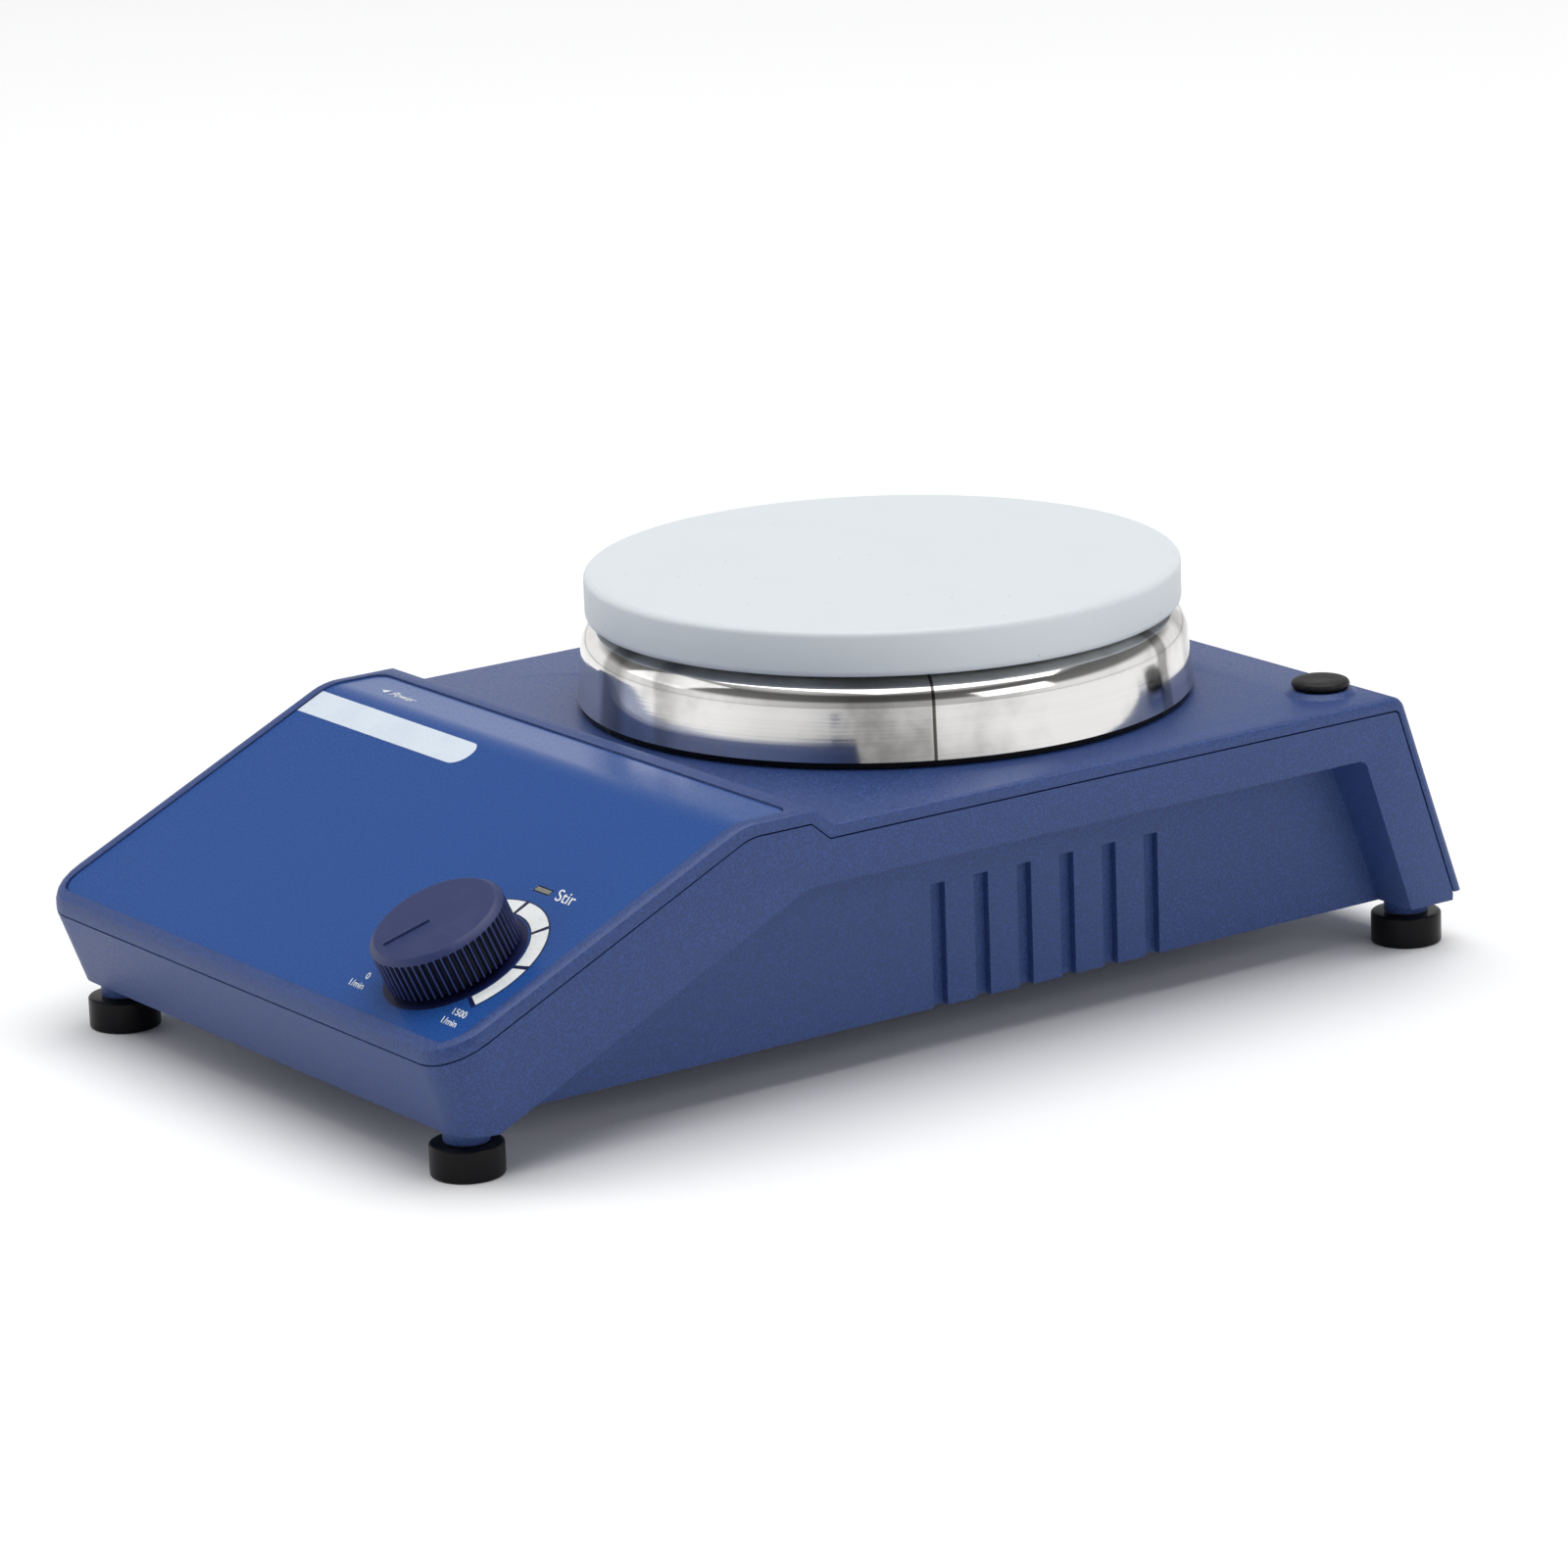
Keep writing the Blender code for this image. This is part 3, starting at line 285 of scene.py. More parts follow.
def rubberBlack():
    finish = Finish("rubber_black", (0.004, 0.004, 0.005), 0.34, Specular_IOR_Level=0.14)
    grain = finish.noise(1900, 3)
    dust = finish.noise(160, 4, 0.7)
    worn = finish.step(dust, 0.55, 0.75)
    body = finish.mix(worn * 0.25, (0.0045, 0.0045, 0.0055), (0.022, 0.022, 0.023))
    finish.feed(Base_Color=body, Roughness=0.26 + grain * 0.12 + worn * 0.15,
                Normal=finish.bump(grain, 0.00004, 0.5))
    return finish.made


def plugRubber():
    finish = Finish("plug_rubber", (0.01, 0.01, 0.01), 0.6, Specular_IOR_Level=0.25)
    grain = finish.noise(1500, 4, 0.65)
    dust = finish.noise(420, 4, 0.7)
    worn = finish.step(dust, 0.48, 0.72)
    body = finish.mix(worn * 0.5, (0.007, 0.007, 0.007), (0.055, 0.050, 0.047))
    finish.feed(Base_Color=body, Roughness=0.5 + worn * 0.25,
                Normal=finish.bump(grain + dust, 0.0001, 0.6))
    return finish.made


def blackMoulding():
    finish = Finish("black_moulding", (0.014, 0.014, 0.015), 0.35)
    grain = finish.noise(2400, 2)
    wear = finish.noise(70, 4)
    body = finish.mix(wear, (0.011, 0.011, 0.012), (0.022, 0.022, 0.024))
    finish.feed(Base_Color=body, Roughness=0.3 + grain * 0.16, Normal=finish.bump(grain, 0.00003, 0.5))
    return finish.made


def turnedBrass():
    finish = Finish("turned_brass", (0.70, 0.50, 0.22), 0.24, 1.0)
    tarnish = finish.noise(240, 4, 0.6)
    lines = finish.noise(1, 2, where=finish.mapped(scale=(300, 300, 4200)))
    body = finish.mix(tarnish, (0.60, 0.41, 0.17), (0.76, 0.57, 0.28))
    finish.feed(Base_Color=body, Roughness=0.18 + tarnish * 0.16,
                Normal=finish.bump(lines, 0.00001, 0.4))
    return finish.made


def stackedIron():
    # half-millimetre laminations, seen as fine level lines
    finish = Finish("stacked_iron", (0.17, 0.17, 0.18), 0.48, 1.0)
    z = finish.split(finish.place)[2]
    sheet = finish.node("ShaderNodeMath", {"operation": "PINGPONG"}, {0: z, 1: 0.00025})
    seam = finish.step(sheet, 0.00003, 0.00009)
    rust = finish.step(finish.noise(200, 4, 0.7), 0.55, 0.75)
    body = finish.mix(seam, (0.05, 0.05, 0.055), (0.20, 0.20, 0.21))
    finish.feed(Base_Color=finish.mix(rust * 0.4, body, (0.16, 0.08, 0.05)),
                Roughness=0.42 + rust * 0.25, Normal=finish.bump(seam, 0.00006, 0.6))
    return finish.made


def woundCopper():
    # enamelled turns side by side under clear tape, with painted shade darkening the creases between the turns
    finish = Finish("wound_copper", (0.55, 0.24, 0.10), 0.3, 0.9)
    x = finish.split(finish.place)[0]
    wire = 0.00022  # half the distance between two turns
    turns = finish.node("ShaderNodeMath", {"operation": "PINGPONG"}, {0: x, 1: wire})
    rounded = finish.step(turns, 0.0, wire)
    varnish = finish.noise(180, 3)
    # painted shade: darker towards each turn's edges
    body = finish.mix(rounded, (0.20, 0.07, 0.03), (0.66, 0.31, 0.14))
    finish.feed(Base_Color=finish.mix(varnish * 0.3, body, (0.42, 0.16, 0.07)),
                Roughness=0.24 + varnish * 0.14, Normal=finish.bump(rounded, 0.00012, 0.8))
    return finish.made


def boardGreen():
    # solder resist with copper tracks showing through as paler lanes
    finish = Finish("board_green", (0.018, 0.16, 0.065), 0.32)
    lanes = finish.node("ShaderNodeTexBrick", {"offset": 0.4},
                        {"Vector": finish.mapped(turn=(0, 0, 0.785)), "Scale": 60.0,
                         "Mortar Size": 0.02, "Brick Width": 0.5, "Row Height": 0.2}, output="Fac")
    weave = finish.noise(1300, 2)
    body = finish.mix(lanes, (0.016, 0.14, 0.058), (0.035, 0.25, 0.10))
    finish.feed(Base_Color=finish.mix(weave * 0.2, body, (0.012, 0.10, 0.045)),
                Roughness=0.28 + weave * 0.12, Normal=finish.bump(lanes + weave * 0.1, 0.00003, 0.6))
    return finish.made


def plainMoulding(name, colour, rough):
    finish = Finish(name, colour, rough)
    grain = finish.noise(1700, 3)
    broad = finish.noise(110, 3)
    body = finish.mix(broad, tuple(c * 0.85 for c in colour), tuple(min(1, c * 1.15) for c in colour))
    finish.feed(Base_Color=body, Roughness=rough - 0.06 + grain * 0.12,
                Normal=finish.bump(grain, 0.00003, 0.5))
    return finish.made


def clearGlass():
    finish = Finish("clear_glass", (0.86, 0.88, 0.84), 0.06, Transmission_Weight=0.9, IOR=1.48)
    smear = finish.noise(500, 3)
    tinted = finish.mix(smear, (0.80, 0.82, 0.78), (0.9, 0.92, 0.9))
    finish.feed(Base_Color=tinted, Roughness=0.04 + smear * 0.06)
    return finish.made


def lampLens():
    # unlit indicator window: smoky, a little yellow
    finish = Finish("lamp_lens", (0.20, 0.19, 0.17), 0.3)
    cloud = finish.noise(700, 3)
    finish.feed(Base_Color=finish.mix(cloud, (0.15, 0.145, 0.14), (0.25, 0.24, 0.20)),
                Roughness=0.22 + cloud * 0.2, Normal=finish.bump(cloud, 0.00002, 0.4))
    return finish.made


def deselect():
    if bpy.context.mode != "OBJECT":
        bpy.ops.object.mode_set(mode="OBJECT")
    bpy.ops.object.select_all(action="DESELECT")


def choose(obj):
    deselect()
    obj.select_set(True)
    bpy.context.view_layer.objects.active = obj


def editSelect(obj, kind, test):
    # selects the vertices or faces that pass a test, in edit mode
    bpy.ops.object.mode_set(mode="EDIT")
    bpy.ops.mesh.select_mode(type=kind)
    bpy.ops.mesh.select_all(action="DESELECT")
    shape = bmesh.from_edit_mesh(obj.data)
    items = shape.verts if kind == "VERT" else shape.faces
    for item in items:
        item.select_set(test(item))
    shape.select_flush(True)
    bmesh.update_edit_mesh(obj.data)


def applyAll(obj):
    choose(obj)
    for modifier in list(obj.modifiers):
        bpy.ops.object.modifier_apply(modifier=modifier.name)


def softEdges(obj, width, segments=3, angle=30, smooth=35):
    edge = obj.modifiers.new("edges", "BEVEL")
    edge.width = width * mm
    edge.segments = segments
    edge.limit_method = "ANGLE"
    edge.angle_limit = math.radians(angle)
    edge.use_clamp_overlap = True
    applyAll(obj)
    bpy.ops.object.shade_smooth_by_angle(angle=math.radians(smooth))
    return obj


def turnedPiece(name, profile, sides=144, ring=False):
    # a circle, extruded and resized from one (radius, height) to the next; millimetres about the origin
    deselect()
    radius, height = profile[0]
    bpy.ops.mesh.primitive_circle_add(vertices=sides, radius=radius * mm, fill_type="NOTHING",
                                      location=(0, 0, height * mm))
    obj = bpy.context.object
    obj.name = obj.data.name = name
    bpy.ops.object.transform_apply(location=True)
    bpy.ops.object.mode_set(mode="EDIT")
    bpy.ops.mesh.select_all(action="SELECT")
    if not ring:
        bpy.ops.mesh.edge_face_add()
        bpy.ops.mesh.select_all(action="SELECT")
    path = profile[1:] + ([profile[0]] if ring else [])
    for nextRadius, nextHeight in path:
        if ring:
            bpy.ops.mesh.extrude_edges_move()
        else:
            bpy.ops.mesh.extrude_region_move()
        bpy.ops.transform.translate(value=(0, 0, (nextHeight - height) * mm))
        bpy.ops.transform.resize(value=(nextRadius / radius, nextRadius / radius, 1),
                                 center_override=(0, 0, nextHeight * mm))
        radius, height = nextRadius, nextHeight
    bpy.ops.mesh.select_all(action="SELECT")
    bpy.ops.mesh.remove_doubles(threshold=0.000001)
    bpy.ops.mesh.normals_make_consistent(inside=False)
    bpy.ops.object.mode_set(mode="OBJECT")
    return obj


def settle(obj, place):
    # puts a piece where it belongs, with the place kept in its mesh
    choose(obj)
    obj.matrix_world = place
    bpy.ops.object.transform_apply(location=True, rotation=True, scale=True)
    return obj


def finishPiece(obj, body, slotName, made, *stood):
    obj.data.materials.clear()
    obj.data.materials.append(made)
    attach(obj, body)
    if stood:
        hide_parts(*stood)
    return obj


def copyOf(name):
    # a merged copy of a node's mesh, its flat areas joined again
    obj = bpy.data.objects.new(name + "_shell", nodes[name].data.copy())
    bpy.context.scene.collection.objects.link(obj)
    choose(obj)
    bpy.ops.object.mode_set(mode="EDIT")
    bpy.ops.mesh.select_all(action="SELECT")
    bpy.ops.mesh.remove_doubles(threshold=0.000002)
    bpy.ops.mesh.dissolve_limited(angle_limit=math.radians(0.6), delimit={"NORMAL"})
    bpy.ops.object.mode_set(mode="OBJECT")
    obj.data.materials.clear()
    return obj


def roundSize(node):
    # a round node's middle, the place of its lower end, and its radius and height in millimetres
    low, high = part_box(node)
    middle = (low + high) / 2
    base = Matrix.Translation((middle.x, middle.y, low.z))
    return middle, base, (high.x - low.x) / 2 / mm, (high.z - low.z) / mm


case = {"coverEdge": 0.55, "housingEdge": 0.7}


def makeCase():
    blue = powderBlue()
    for node, edge in (("upper_cover", case["coverEdge"]), ("lower_housing", case["housingEdge"])):
        shell = softEdges(copyOf(node), edge, segments=3, angle=24, smooth=32)
        finishPiece(shell, "case", "blue_plastic", blue, node)
    print("case")


knobJoint = joints["knob_turn"]
knobCentre = Vector(knobJoint["pos_m"])
panelUp = -Vector(knobJoint["axis"]).normalized()
panelAcross = Vector((1, 0, 0))
panelAlong = panelUp.cross(panelAcross)
panelTurn = Matrix((panelAcross, panelAlong, panelUp)).transposed().to_4x4()
panel = Matrix.Translation(knobCentre) @ panelTurn

prints = {
    "filmEdge": 0.08, "thick": 0.03, "lift": 0.02, "shoulderLift": 0.04, "stripeLift": 0.03,
    "probe": (-16, 0),  # where the height of the film's face is read
    # the scale round the knob and the painted shadow ring under the knob: radii in millimetres, angles in degrees
    "arcInner": 15.4, "arcOuter": 18.9, "arcPitch": 39.3, "arcFirst": -25.5, "arcGap": 3.4,
    "arcCount": 6, "arcLast": 201.0, "shadowRadius": 14.8, "shadowHole": 6.0, "outline": 0.3,
    # each word, its place from the knob's axis and its size
    "words": [("0", -15.9, -11.4, 2.4), ("1/min", -18.3, -14.1, 2.35), ("1500", 14.0, -11.5, 2.4),
              ("1/min", 13.9, -14.2, 2.35), ("Stir", 4.2, 21.6, 4.4)],
    "slant": -0.5, "stroke": 0.008,
    "power": ("Power", -57.0, -50.3, 3.3),  # its place from the frame's origin
    # the arrow: radius and height as shares of the word's size, then breadth and distance to the left
    "arrow": {"radius": 0.42, "up": 0.34, "breadth": 0.8, "left": 2.4},
    # left and right ends from the object's middle, low and high edges up the slope from the knob's axis
    "stripe": (-71.4, -12.0, 44.3, 51.7), "stripeCuts": 12,
}


def filmDepth(film, x, y):
    # height of the film's face over the knob's origin plane, in millimetres
    start = panel @ Vector((x * mm, y * mm, 20 * mm))
    hit, spot, _, _ = film.ray_cast(start, -panelUp)
    return (panel.inverted() @ spot).z / mm if hit else 0.0


def makeArc(name, inner, outer, start, end, thick, steps=14):
    # a bar's end edge, spun clockwise about the knob's axis from the far end, then thickened
    deselect()
    bpy.ops.mesh.primitive_plane_add(size=1, location=(0, 0, 0))
    obj = bpy.context.object
    obj.name = obj.data.name = name
    editSelect(obj, "VERT", lambda vert: vert.co.y > 0)
    bpy.ops.mesh.delete(type="VERT")
    shape = bmesh.from_edit_mesh(obj.data)
    ends = sorted(shape.verts, key=lambda vert: vert.co.x)
    for vert, radius in zip(ends, (inner, outer)):
        vert.co = (radius * mm * math.cos(end), radius * mm * math.sin(end), 0)
    bmesh.update_edit_mesh(obj.data)
    bpy.ops.mesh.select_all(action="SELECT")
    bpy.ops.mesh.spin(steps=steps, angle=end - start, center=(0, 0, 0), axis=(0, 0, 1))
    bpy.ops.mesh.select_all(action="SELECT")
    bpy.ops.mesh.normals_make_consistent(inside=False)
    bpy.ops.mesh.remove_doubles(threshold=0.0000001)
    bpy.ops.object.mode_set(mode="OBJECT")
    thicken(obj, thick)
    return obj


def thicken(obj, thick):
    # gives a flat piece its thickness on the upper side
    if sum(face.normal.z * face.area for face in obj.data.polygons) < 0:
        obj.data.flip_normals()
    wall = obj.modifiers.new("ink", "SOLIDIFY")
    wall.thickness = thick * mm
    wall.offset = 1
    applyAll(obj)


def joined(name, parts):
    choose(parts[0])
    for part in parts:
        part.select_set(True)
    bpy.ops.object.join()
    obj = bpy.context.object
    obj.name = obj.data.name = name
    return obj


def makeWord(name, text, size, thick, slant):
    deselect()
    bpy.ops.object.text_add(location=(0, 0, 0))
    obj = bpy.context.object
    obj.data.body = text
    obj.data.size = size * mm
    obj.data.shear = slant
    obj.data.extrude = thick / 2 * mm
    obj.data.offset = prints["stroke"] * mm
    obj.data.resolution_u = 6
    bpy.ops.object.convert(target="MESH")
    obj = bpy.context.object
    obj.name = obj.data.name = name
    return obj


def makePanel():
    film = softEdges(copyOf("control_overlay"), prints["filmEdge"], segments=2, angle=24, smooth=32)
    even = film.modifiers.new("even", "WEIGHTED_NORMAL")
    even.keep_sharp = True
    applyAll(film)
    finishPiece(film, "case", "panel_film", glossFilm(), "control_overlay")
    white = printInk("print_white", (0.80, 0.82, 0.82), (0.70, 0.73, 0.76))
    # navy ink for the scale's outline, and for the painted shadow ring under the knob
    navy = printInk("print_navy_and_shadow", (0.004, 0.007, 0.045), (0.006, 0.010, 0.06))
    pale = printInk("print_pale", (0.63, 0.70, 0.78), (0.58, 0.65, 0.74))
    face = filmDepth(film, *prints["probe"])
    thick = prints["thick"]
    level = panel @ Matrix.Translation((0, 0, (face + prints["lift"]) * mm))
    raised = level @ Matrix.Translation((0, 0, thick * mm))

    # painted shadow: a dark navy ring under the knob, its edge showing round the knob's foot
    outer, inner = prints["shadowRadius"], prints["shadowHole"]
    profile = [(outer, 0), (outer, thick), (inner, thick), (inner, 0)]
    shadowDisc = turnedPiece("knob_shadow_disc", profile, sides=120, ring=True)
    finishPiece(settle(shadowDisc, level), "case", "panel_film", navy)

    first, last = math.radians(prints["arcFirst"]), math.radians(prints["arcLast"])
    pitch, gap = math.radians(prints["arcPitch"]), math.radians(prints["arcGap"])
    inner, outer = prints["arcInner"], prints["arcOuter"]
    bars = []
    for i in range(prints["arcCount"]):
        start = first + i * pitch
        end = min(start + pitch, last)
        bars.append(makeArc(f"bar{i}", inner, outer, start + gap / 2, end - gap / 2, thick))
    finishPiece(settle(joined("speed_scale", bars), raised), "case", "panel_film", white)

    edge = prints["outline"]
    turn = gap * 0.35
    outline = makeArc("speed_scale_outline", inner - edge, outer + edge, first - turn, last + turn,
                      thick, steps=84)
    finishPiece(settle(outline, level), "case", "panel_film", navy)

    words = []
    for i, (text, x, y, size) in enumerate(prints["words"]):
        word = makeWord(f"word{i}", text, size, thick, prints["slant"])
        words.append(settle(word, raised @ Matrix.Translation((x * mm, y * mm, 0))))
    finishPiece(joined("panel_words", words), "case", "panel_film", white)

    # the power word and its arrow lie on the level shoulder
    text, x, y, size = prints["power"]
    above = Vector((x * mm, y * mm, 100 * mm))
    _, spot, normal, _ = film.ray_cast(above, Vector((0, 0, -1)))
    word = makeWord("power", text, size, thick, 0.0)
    arrow = makeArrow(size)
    slope = Matrix.Rotation(-math.asin(max(-1, min(1, normal.y))), 4, "X")
    shoulder = Matrix.Translation(spot + normal * prints["shoulderLift"] * mm) @ slope
    settle(word, shoulder)
    left, up = prints["arrow"]["left"], size * prints["arrow"]["up"]
    settle(arrow, shoulder @ Matrix.Translation((-left * mm, up * mm, 0)))
    finishPiece(joined("power_word", [word, arrow]), "case", "panel_film", white)
    makeStripe(film, pale)
    print("panel")


def makeArrow(size):
    deselect()
    radius = size * prints["arrow"]["radius"] * mm
    bpy.ops.mesh.primitive_circle_add(vertices=3, radius=radius, fill_type="NGON",
                                      rotation=(0, 0, math.pi / 2))
    obj = bpy.context.object
    obj.name = obj.data.name = "arrow"
    bpy.ops.object.transform_apply(rotation=True)
    obj.data.transform(Matrix.Diagonal((1.0, prints["arrow"]["breadth"], 1.0, 1.0)))
    thicken(obj, prints["thick"])
    return obj


def makeStripe(film, ink):
    # a pale band with a round end, cut into strips so that it can bend, then laid on the film
    left, right, low, high = prints["stripe"]
    cuts = prints["stripeCuts"]
    half = (high - low) / 2
    deselect()
    bpy.ops.mesh.primitive_plane_add(size=1)
    obj = bpy.context.object
    obj.name = obj.data.name = "pale_stripe"
    obj.scale = ((right - left) * mm, 2 * half * mm, 1)
    obj.location = ((left + right) / 2 * mm - knobCentre.x, (low + high) / 2 * mm, 4 * mm)
    bpy.ops.object.transform_apply(location=True, rotation=True, scale=True)
    edge = (right - 0.01) * mm - knobCentre.x
    editSelect(obj, "VERT", lambda vert: vert.co.x > edge)
    bpy.ops.mesh.bevel(offset=half * mm * 0.999, segments=12, affect="VERTICES", profile=0.5)
    bpy.ops.mesh.select_all(action="SELECT")
    bpy.ops.mesh.remove_doubles(threshold=0.000005)
    for cut in range(1, cuts):
        bpy.ops.mesh.select_all(action="SELECT")
        y = (low + (high - low) * cut / cuts) * mm
        bpy.ops.mesh.bisect(plane_co=(0, y, 0), plane_no=(0, 1, 0))
    bpy.ops.object.mode_set(mode="OBJECT")
    settle(obj, panel)
    wrap = obj.modifiers.new("lay", "SHRINKWRAP")
    wrap.target = film
    wrap.wrap_method = "NEAREST_SURFACEPOINT"
    wrap.wrap_mode = "ABOVE_SURFACE"
    wrap.offset = prints["stripeLift"] * mm
    wall = obj.modifiers.new("ink", "SOLIDIFY")
    wall.thickness = prints["thick"] * mm
    wall.offset = 1
    applyAll(obj)
    finishPiece(obj, "case", "panel_film", ink)


knob = {
    "ridges": 58, "radius": 13.65, "root": 12.95, "base": 0.65, "sideTop": 8.8, "top": 10.0,
    "topRadius": 12.35, "wall": 1.8, "roof": 2.0, "lowEdge": 0.25, "highEdge": 0.35, "edge": 0.10,
    # inner and outer end, width and height; then the way it points, in degrees
    "pointer": (1.0, 10.6, 0.7, 0.5), "pointerAngle": -109, "pointerInset": 0.16, "pointerEdge": 0.07,
}


def makeKnob():
    steps = 6
    sides = knob["ridges"] * steps
    radius, base, sideTop, crown = knob["radius"], knob["base"], knob["sideTop"], knob["topRadius"]
    wall = radius - knob["wall"]
    face = knob["top"] - 0.05
    profile = [(wall, knob["top"] - knob["roof"]), (wall, base), (radius - knob["lowEdge"], base),
               (radius, base + knob["lowEdge"]), (radius, sideTop - knob["highEdge"]), (radius, sideTop),
               (crown, face - 0.01), (crown - 0.5, face), (0.4, face)]
    body = turnedPiece("speed_knob", profile, sides)

    # every ridge keeps two of its six columns out; the grooves between them are drawn in
    low, high = base * mm - 1e-6, (sideTop - knob["highEdge"] + 0.01) * mm
    rim = (radius - 0.3) * mm
    root = (knob["root"] - 0.3) * mm

    def place(vert):
        column = round(math.atan2(vert.co.y, vert.co.x) / (2 * math.pi) * sides) % steps
        return column, Vector(vert.co[:2]).length, low < vert.co.z < high

    def inGroove(vert):
        column, reach, onSide = place(vert)
        return onSide and column in (0, 1, 2, 3) and reach > rim

    def atMiddle(vert):
        column, reach, onSide = place(vert)
        return onSide and column in (1, 2) and root < reach < rim + 0.05 * mm

    editSelect(body, "VERT", inGroove)
    draw = knob["root"] / radius
    bpy.ops.transform.resize(value=(draw, draw, 1), center_override=(0, 0, 0))
    editSelect(body, "VERT", atMiddle)
    bpy.ops.transform.resize(value=(0.992, 0.992, 1), center_override=(0, 0, 0))
    bpy.ops.object.mode_set(mode="OBJECT")
    softEdges(body, knob["edge"], segments=2, angle=28, smooth=50)

    inner, outer, width, tall = knob["pointer"]
    deselect()
    bpy.ops.mesh.primitive_cube_add(size=1)
    bar = bpy.context.object
    bar.name = bar.data.name = "knob_pointer"
    bar.scale = ((outer - inner) * mm, width * mm, tall * mm)
    bar.location = ((inner + outer) / 2 * mm, 0, (knob["top"] + 0.15) * mm)
    bpy.ops.object.transform_apply(location=True, scale=True)
    editSelect(bar, "FACE", lambda side: side.normal.z > 0.9)
    bpy.ops.mesh.inset(thickness=knob["pointerInset"] * mm)
    bpy.ops.object.mode_set(mode="OBJECT")
    softEdges(bar, knob["pointerEdge"], segments=2, smooth=40)
    settle(bar, Matrix.Rotation(math.radians(knob["pointerAngle"]), 4, "Z"))
    settle(body, panel)
    settle(bar, panel)
    navy = knobNavy(panel)
    finishPiece(body, "knob", "knob_plastic", navy, "control_knob")
    finishPiece(bar, "knob", "knob_plastic", navy)
    print("knob")


plate = {
    "matEdge": 1.9, "matRim": 1.4, "topEdge": 0.2, "sides": 192,
    # sectors of the ring with painted dark reflections: start and end in turns, how softly each end fades, and how
    # dark it is
    "reflectionFans": [(0.370, 0.4247, 0.022, 0.002, 0.34), (0.325, 0.400, 0.020, 0.020, 0.14),
             (0.268, 0.282, 0.003, 0.009, 0.30), (0.216, 0.240, 0.004, 0.006, 0.50),
             (0.4247, 0.500, 0.002, 0.050, 0.10), (0.572, 0.584, 0.002, 0.002, 0.5),
             (0.612, 0.640, 0.006, 0.006, 0.45), (0.860, 0.920, 0.025, 0.010, 0.32),
             (0.760, 0.778, 0.004, 0.008, 0.45), (0.030, 0.110, 0.020, 0.030, 0.20)],
    "seam": 0.4247,
    # radius and height down the outside; the shoulder's centre and bend; then down the inside
    "wall": [(62.3, 0.0), (62.2, 0.8), (61.95, 3.0), (61.65, 6.0), (61.4, 8.6)],
    "shoulder": (56.1, 10.2, 5.25),
    "inside": [(55.0, 13.4), (58.6, 11.6), (60.2, 7.5), (61.0, 0.0)],
    "top": [(54.8, 14.6), (54.8, 15.75), (54.0, 15.8)],
}


def makePlate():
    middle, place, radius, tall = roundSize("silicone_mat")
    rim = radius - plate["matRim"]
    mat = turnedPiece("white_mat", [(rim, 0), (radius, 0), (radius, tall), (rim, tall)], plate["sides"])
    softEdges(mat, plate["matEdge"], segments=6, angle=40, smooth=40)
    finishPiece(settle(mat, place), "mat", "mat_silicone", matWhite(), "silicone_mat")

    # the ring flares down to the deck and turns over a round shoulder under the mat
    acrossArc, upArc, bend = plate["shoulder"]
    arc = [math.radians(angle) for angle in range(0, 91, 9)]
    turned = [(acrossArc + bend * math.cos(angle), upArc + bend * math.sin(angle)) for angle in arc]
    lip = [(plate["inside"][0][0], upArc + bend)]
    profile = plate["wall"] + turned + lip + plate["inside"]
    steel = turnedPiece("steel_ring", profile, plate["sides"], ring=True)
    choose(steel)
    bpy.ops.object.shade_smooth_by_angle(angle=math.radians(35))
    place = Matrix.Translation((middle.x, middle.y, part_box("steel_plate")[0].z))
    # the ring's steel gets painted dark reflection sectors and a thin dark line
    made = polishedSteel("polished_steel", tuple(middle), 0.80, plate["reflectionFans"], plate["seam"])
    finishPiece(settle(steel, place), "case", "polished_steel", made, "steel_plate")

    top = softEdges(turnedPiece("steel_top", plate["top"], plate["sides"]), plate["topEdge"],
                    segments=2, smooth=40)
    made = polishedSteel("spun_steel", tuple(middle))
    finishPiece(settle(top, place), "case", "polished_steel", made)
    print("plate")


feet = {
    "boreRadius": 3.6, "boreTop": 3.0, "screwRadius": 1.9,
    "soleEdge": 0.35, "topEdge": 0.3, "softEdge": 0.22,
}

plug = {
    # radius and height of the end that sits in the socket, and radius and drop from the top of the cap
    "end": [(2.6, 0), (3.3, 1.0)],
    "cap": [(3.3, 1.75), (5.5, 1.7), (5.85, 1.25), (5.85, 0.85), (5.6, 0.35), (4.9, 0.05), (3.4, 0.0),
            (1.5, 0.12)],
    "softEdge": 0.15,
}


def makeFeet():
    rubber = rubberBlack()
    bore, deep, screw = feet["boreRadius"], feet["boreTop"], feet["screwRadius"]
    sole, edge = feet["soleEdge"], feet["topEdge"]
    for corner in ("front_left", "front_right", "rear_left", "rear_right"):
        node = "foot_" + corner
        _, place, radius, tall = roundSize(node)
        profile = [(bore, deep), (bore, 0), (radius - sole, 0), (radius, sole), (radius, tall - edge),
                   (radius - edge, tall), (screw, tall), (screw, deep)]
        pad = turnedPiece(node + "_pad", profile, sides=72, ring=True)
        softEdges(pad, feet["softEdge"], segments=3, smooth=40)
        finishPiece(settle(pad, place), "case", "black_rubber", rubber, node)
    print("feet")


def makePlug():
    _, place, _, tall = roundSize("rod_plug")
    profile = plug["end"] + [(radius, tall - drop) for radius, drop in plug["cap"]]
    cap = turnedPiece("plug_cap", profile, sides=72)
    softEdges(cap, plug["softEdge"], segments=2, smooth=40)
    finishPiece(settle(cap, place), "socket_plug", "black_rubber", plugRubber(), "rod_plug")
    print("plug")


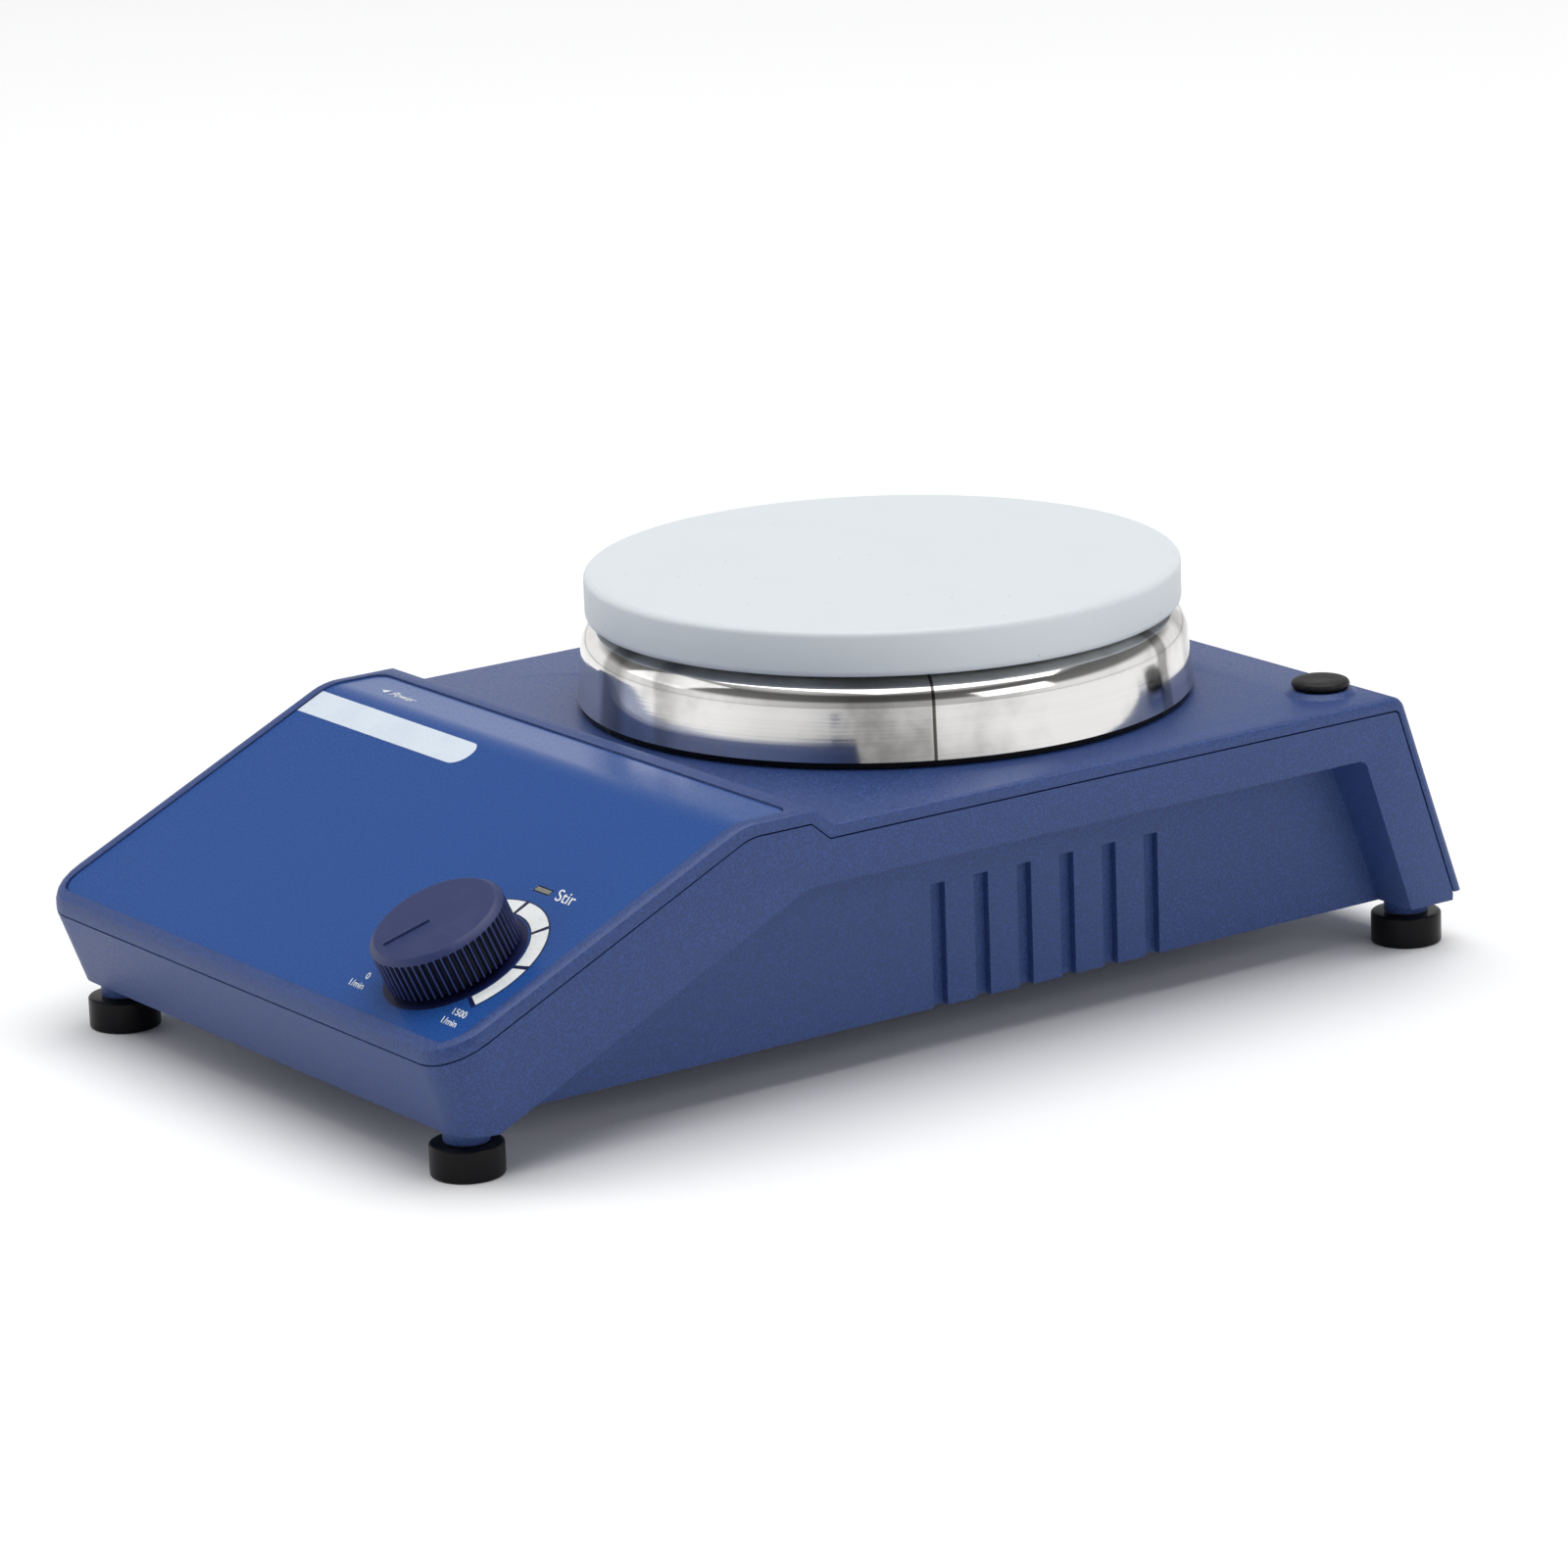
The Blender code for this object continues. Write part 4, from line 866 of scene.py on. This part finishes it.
def dressNodes():
    zinc = zincPlate()
    brass = turnedBrass()
    black = blackMoulding()
    iron = stackedIron()
    green = boardGreen()
    rubber = rubberBlack()
    glass = clearGlass()
    magnet = zincPlate("magnet_nickel", 0.66, 0.2)
    steel = polishedSteel("ground_steel", tuple(roundSize("motor_shaft")[0]), 0.66)
    finishes = {
        "zinc_steel": zinc, "brass": brass, "black_plastic": black, "iron": iron, "board_green": green,
        "black_rubber": rubber, "clear_glass": glass, "magnet_nickel": magnet, "polished_steel": steel,
        "copper": woundCopper(),
        "terminal_plastic": plainMoulding("terminal_green", (0.04, 0.26, 0.10), 0.4),
        "capacitor_sleeve": plainMoulding("sleeve_navy", (0.03, 0.04, 0.13), 0.3),
    }
    for part in frame["record"]["subparts"]:
        obj = nodes[part["node"]]
        made = finishes.get(part["material_slot"])
        if made is None or obj.hide_render:
            continue
        obj.data.materials.clear()
        obj.data.materials.append(made)
    leads = {"lead_inlet_to_board": ("lead_red", (0.30, 0.02, 0.02)),
             "lead_board_to_motor": ("lead_blue", (0.02, 0.04, 0.30))}
    for node, (name, colour) in leads.items():
        nodes[node].data.materials.clear()
        nodes[node].data.materials.append(plainMoulding(name, colour, 0.4))
    nodes["stir_led"].data.materials.clear()
    nodes["stir_led"].data.materials.append(lampLens())
    for node in nodes.values():
        if not node.hide_render:
            choose(node)
            bpy.ops.object.shade_smooth_by_angle(angle=math.radians(35))
    print("finishes")


studio = {
    # the camera: metres from its target, angles in degrees, the target in millimetres; the focal length
    # is in the same units as the frame's width
    "distance": 1.40865, "azimuth": 55.106, "elevation": 15.064, "roll": -2.07,
    "target": (-2.616, 8.5, 39.58), "focal": 7142.97, "frameWidth": 1600,
    # the sky's brightness from the ground up, and the side where it is dimmed
    "sky": [(0.0, 1.0), (0.26, 1.0), (0.42, 0.22), (0.74, 0.14), (0.86, 0.75), (1.0, 0.8)],
    "dimSide": (0.82, -0.572, 0.0), "dimFrom": 0.35, "dimTo": 0.95, "dimmest": 0.65,
    # each light's place, size and power
    "aim": (0, 0, 0.05),
    "boxes": [("top", (0.0, 0.3, 3.0), (3.4, 3.4), 86), ("key", (-0.9, -0.9, 0.9), (0.9, 0.9), 3),
              ("side", (1.4, 0.4, 0.7), (0.8, 0.6), 3)],
}


def makeCamera():
    az, el, roll = (math.radians(studio[key]) for key in ("azimuth", "elevation", "roll"))
    back = Vector((math.sin(az) * math.cos(el), -math.cos(az) * math.cos(el), math.sin(el)))
    right = Vector((math.cos(az), math.sin(az), 0))
    up = back.cross(right)
    across = right * math.cos(roll) + up * math.sin(roll)
    above = up * math.cos(roll) - right * math.sin(roll)
    data = bpy.data.cameras.new("camera")
    data.sensor_width = 36
    data.lens = studio["focal"] / studio["frameWidth"] * data.sensor_width
    data.clip_start = 0.05
    data.clip_end = 50
    camera = bpy.data.objects.new("camera", data)
    bpy.context.scene.collection.objects.link(camera)
    spot = Vector(studio["target"]) * mm + back * studio["distance"]
    camera.matrix_world = Matrix.Translation(spot) @ Matrix((across, above, back)).transposed().to_4x4()
    bpy.context.scene.camera = camera


def softBox(name, place, size, power):
    data = bpy.data.lights.new(name, "AREA")
    data.shape = "RECTANGLE"
    data.size, data.size_y = size
    data.energy = power
    light = bpy.data.objects.new(name, data)
    bpy.context.scene.collection.objects.link(light)
    light.location = place
    towards = Vector(studio["aim"]) - Vector(place)
    light.rotation_euler = towards.to_track_quat("-Z", "Y").to_euler()


def makeStudio():
    deselect()
    bpy.ops.mesh.primitive_plane_add(size=30, location=(0, 0, 0))
    floor = bpy.context.object
    floor.name = floor.data.name = "floor"
    pale = Finish("floor_pale", (0.9, 0.9, 0.9), 0.6, Specular_IOR_Level=0.1)
    pale.feed(Base_Color=pale.mix(pale.noise(3, 3), (0.895, 0.895, 0.9), (0.905, 0.905, 0.905)))
    floor.data.materials.append(pale.made)

    # a bright low horizon, dimmer on one side, a dim band half way up and a soft bright ceiling
    world = bpy.data.worlds.new("studio")
    bpy.context.scene.world = world
    world.use_nodes = True
    tree = world.node_tree
    where = tree.nodes.new("ShaderNodeTexCoord")
    split = tree.nodes.new("ShaderNodeSeparateXYZ")
    ramp = tree.nodes.new("ShaderNodeValToRGB")
    tree.links.new(where.outputs["Generated"], split.inputs[0])
    tree.links.new(split.outputs["Z"], ramp.inputs[0])
    while len(ramp.color_ramp.elements) < len(studio["sky"]):
        ramp.color_ramp.elements.new(0.5)
    for element, (height, level) in zip(ramp.color_ramp.elements, studio["sky"]):
        element.position = height
        element.color = (level, level, level, 1)
    tree.links.new(ramp.outputs[0], tree.nodes["Background"].inputs["Color"])
    facing = tree.nodes.new("ShaderNodeVectorMath")
    facing.operation = "DOT_PRODUCT"
    facing.inputs[1].default_value = studio["dimSide"]
    tree.links.new(where.outputs["Generated"], facing.inputs[0])
    fade = tree.nodes.new("ShaderNodeMapRange")
    fade.interpolation_type = "SMOOTHSTEP"
    fade.inputs["From Min"].default_value = studio["dimFrom"]
    fade.inputs["From Max"].default_value = studio["dimTo"]
    fade.inputs["To Min"].default_value = 1.0
    fade.inputs["To Max"].default_value = studio["dimmest"]
    tree.links.new(facing.outputs["Value"], fade.inputs["Value"])
    tree.links.new(fade.outputs["Result"], tree.nodes["Background"].inputs["Strength"])
    for name, place, size, power in studio["boxes"]:
        softBox(name, place, size, power)
    bpy.context.scene.view_settings.view_transform = "Standard"
    print("studio")


makeCamera()
makeCase()
makePanel()
makeKnob()
makePlate()
makeFeet()
makePlug()
dressNodes()
makeStudio()
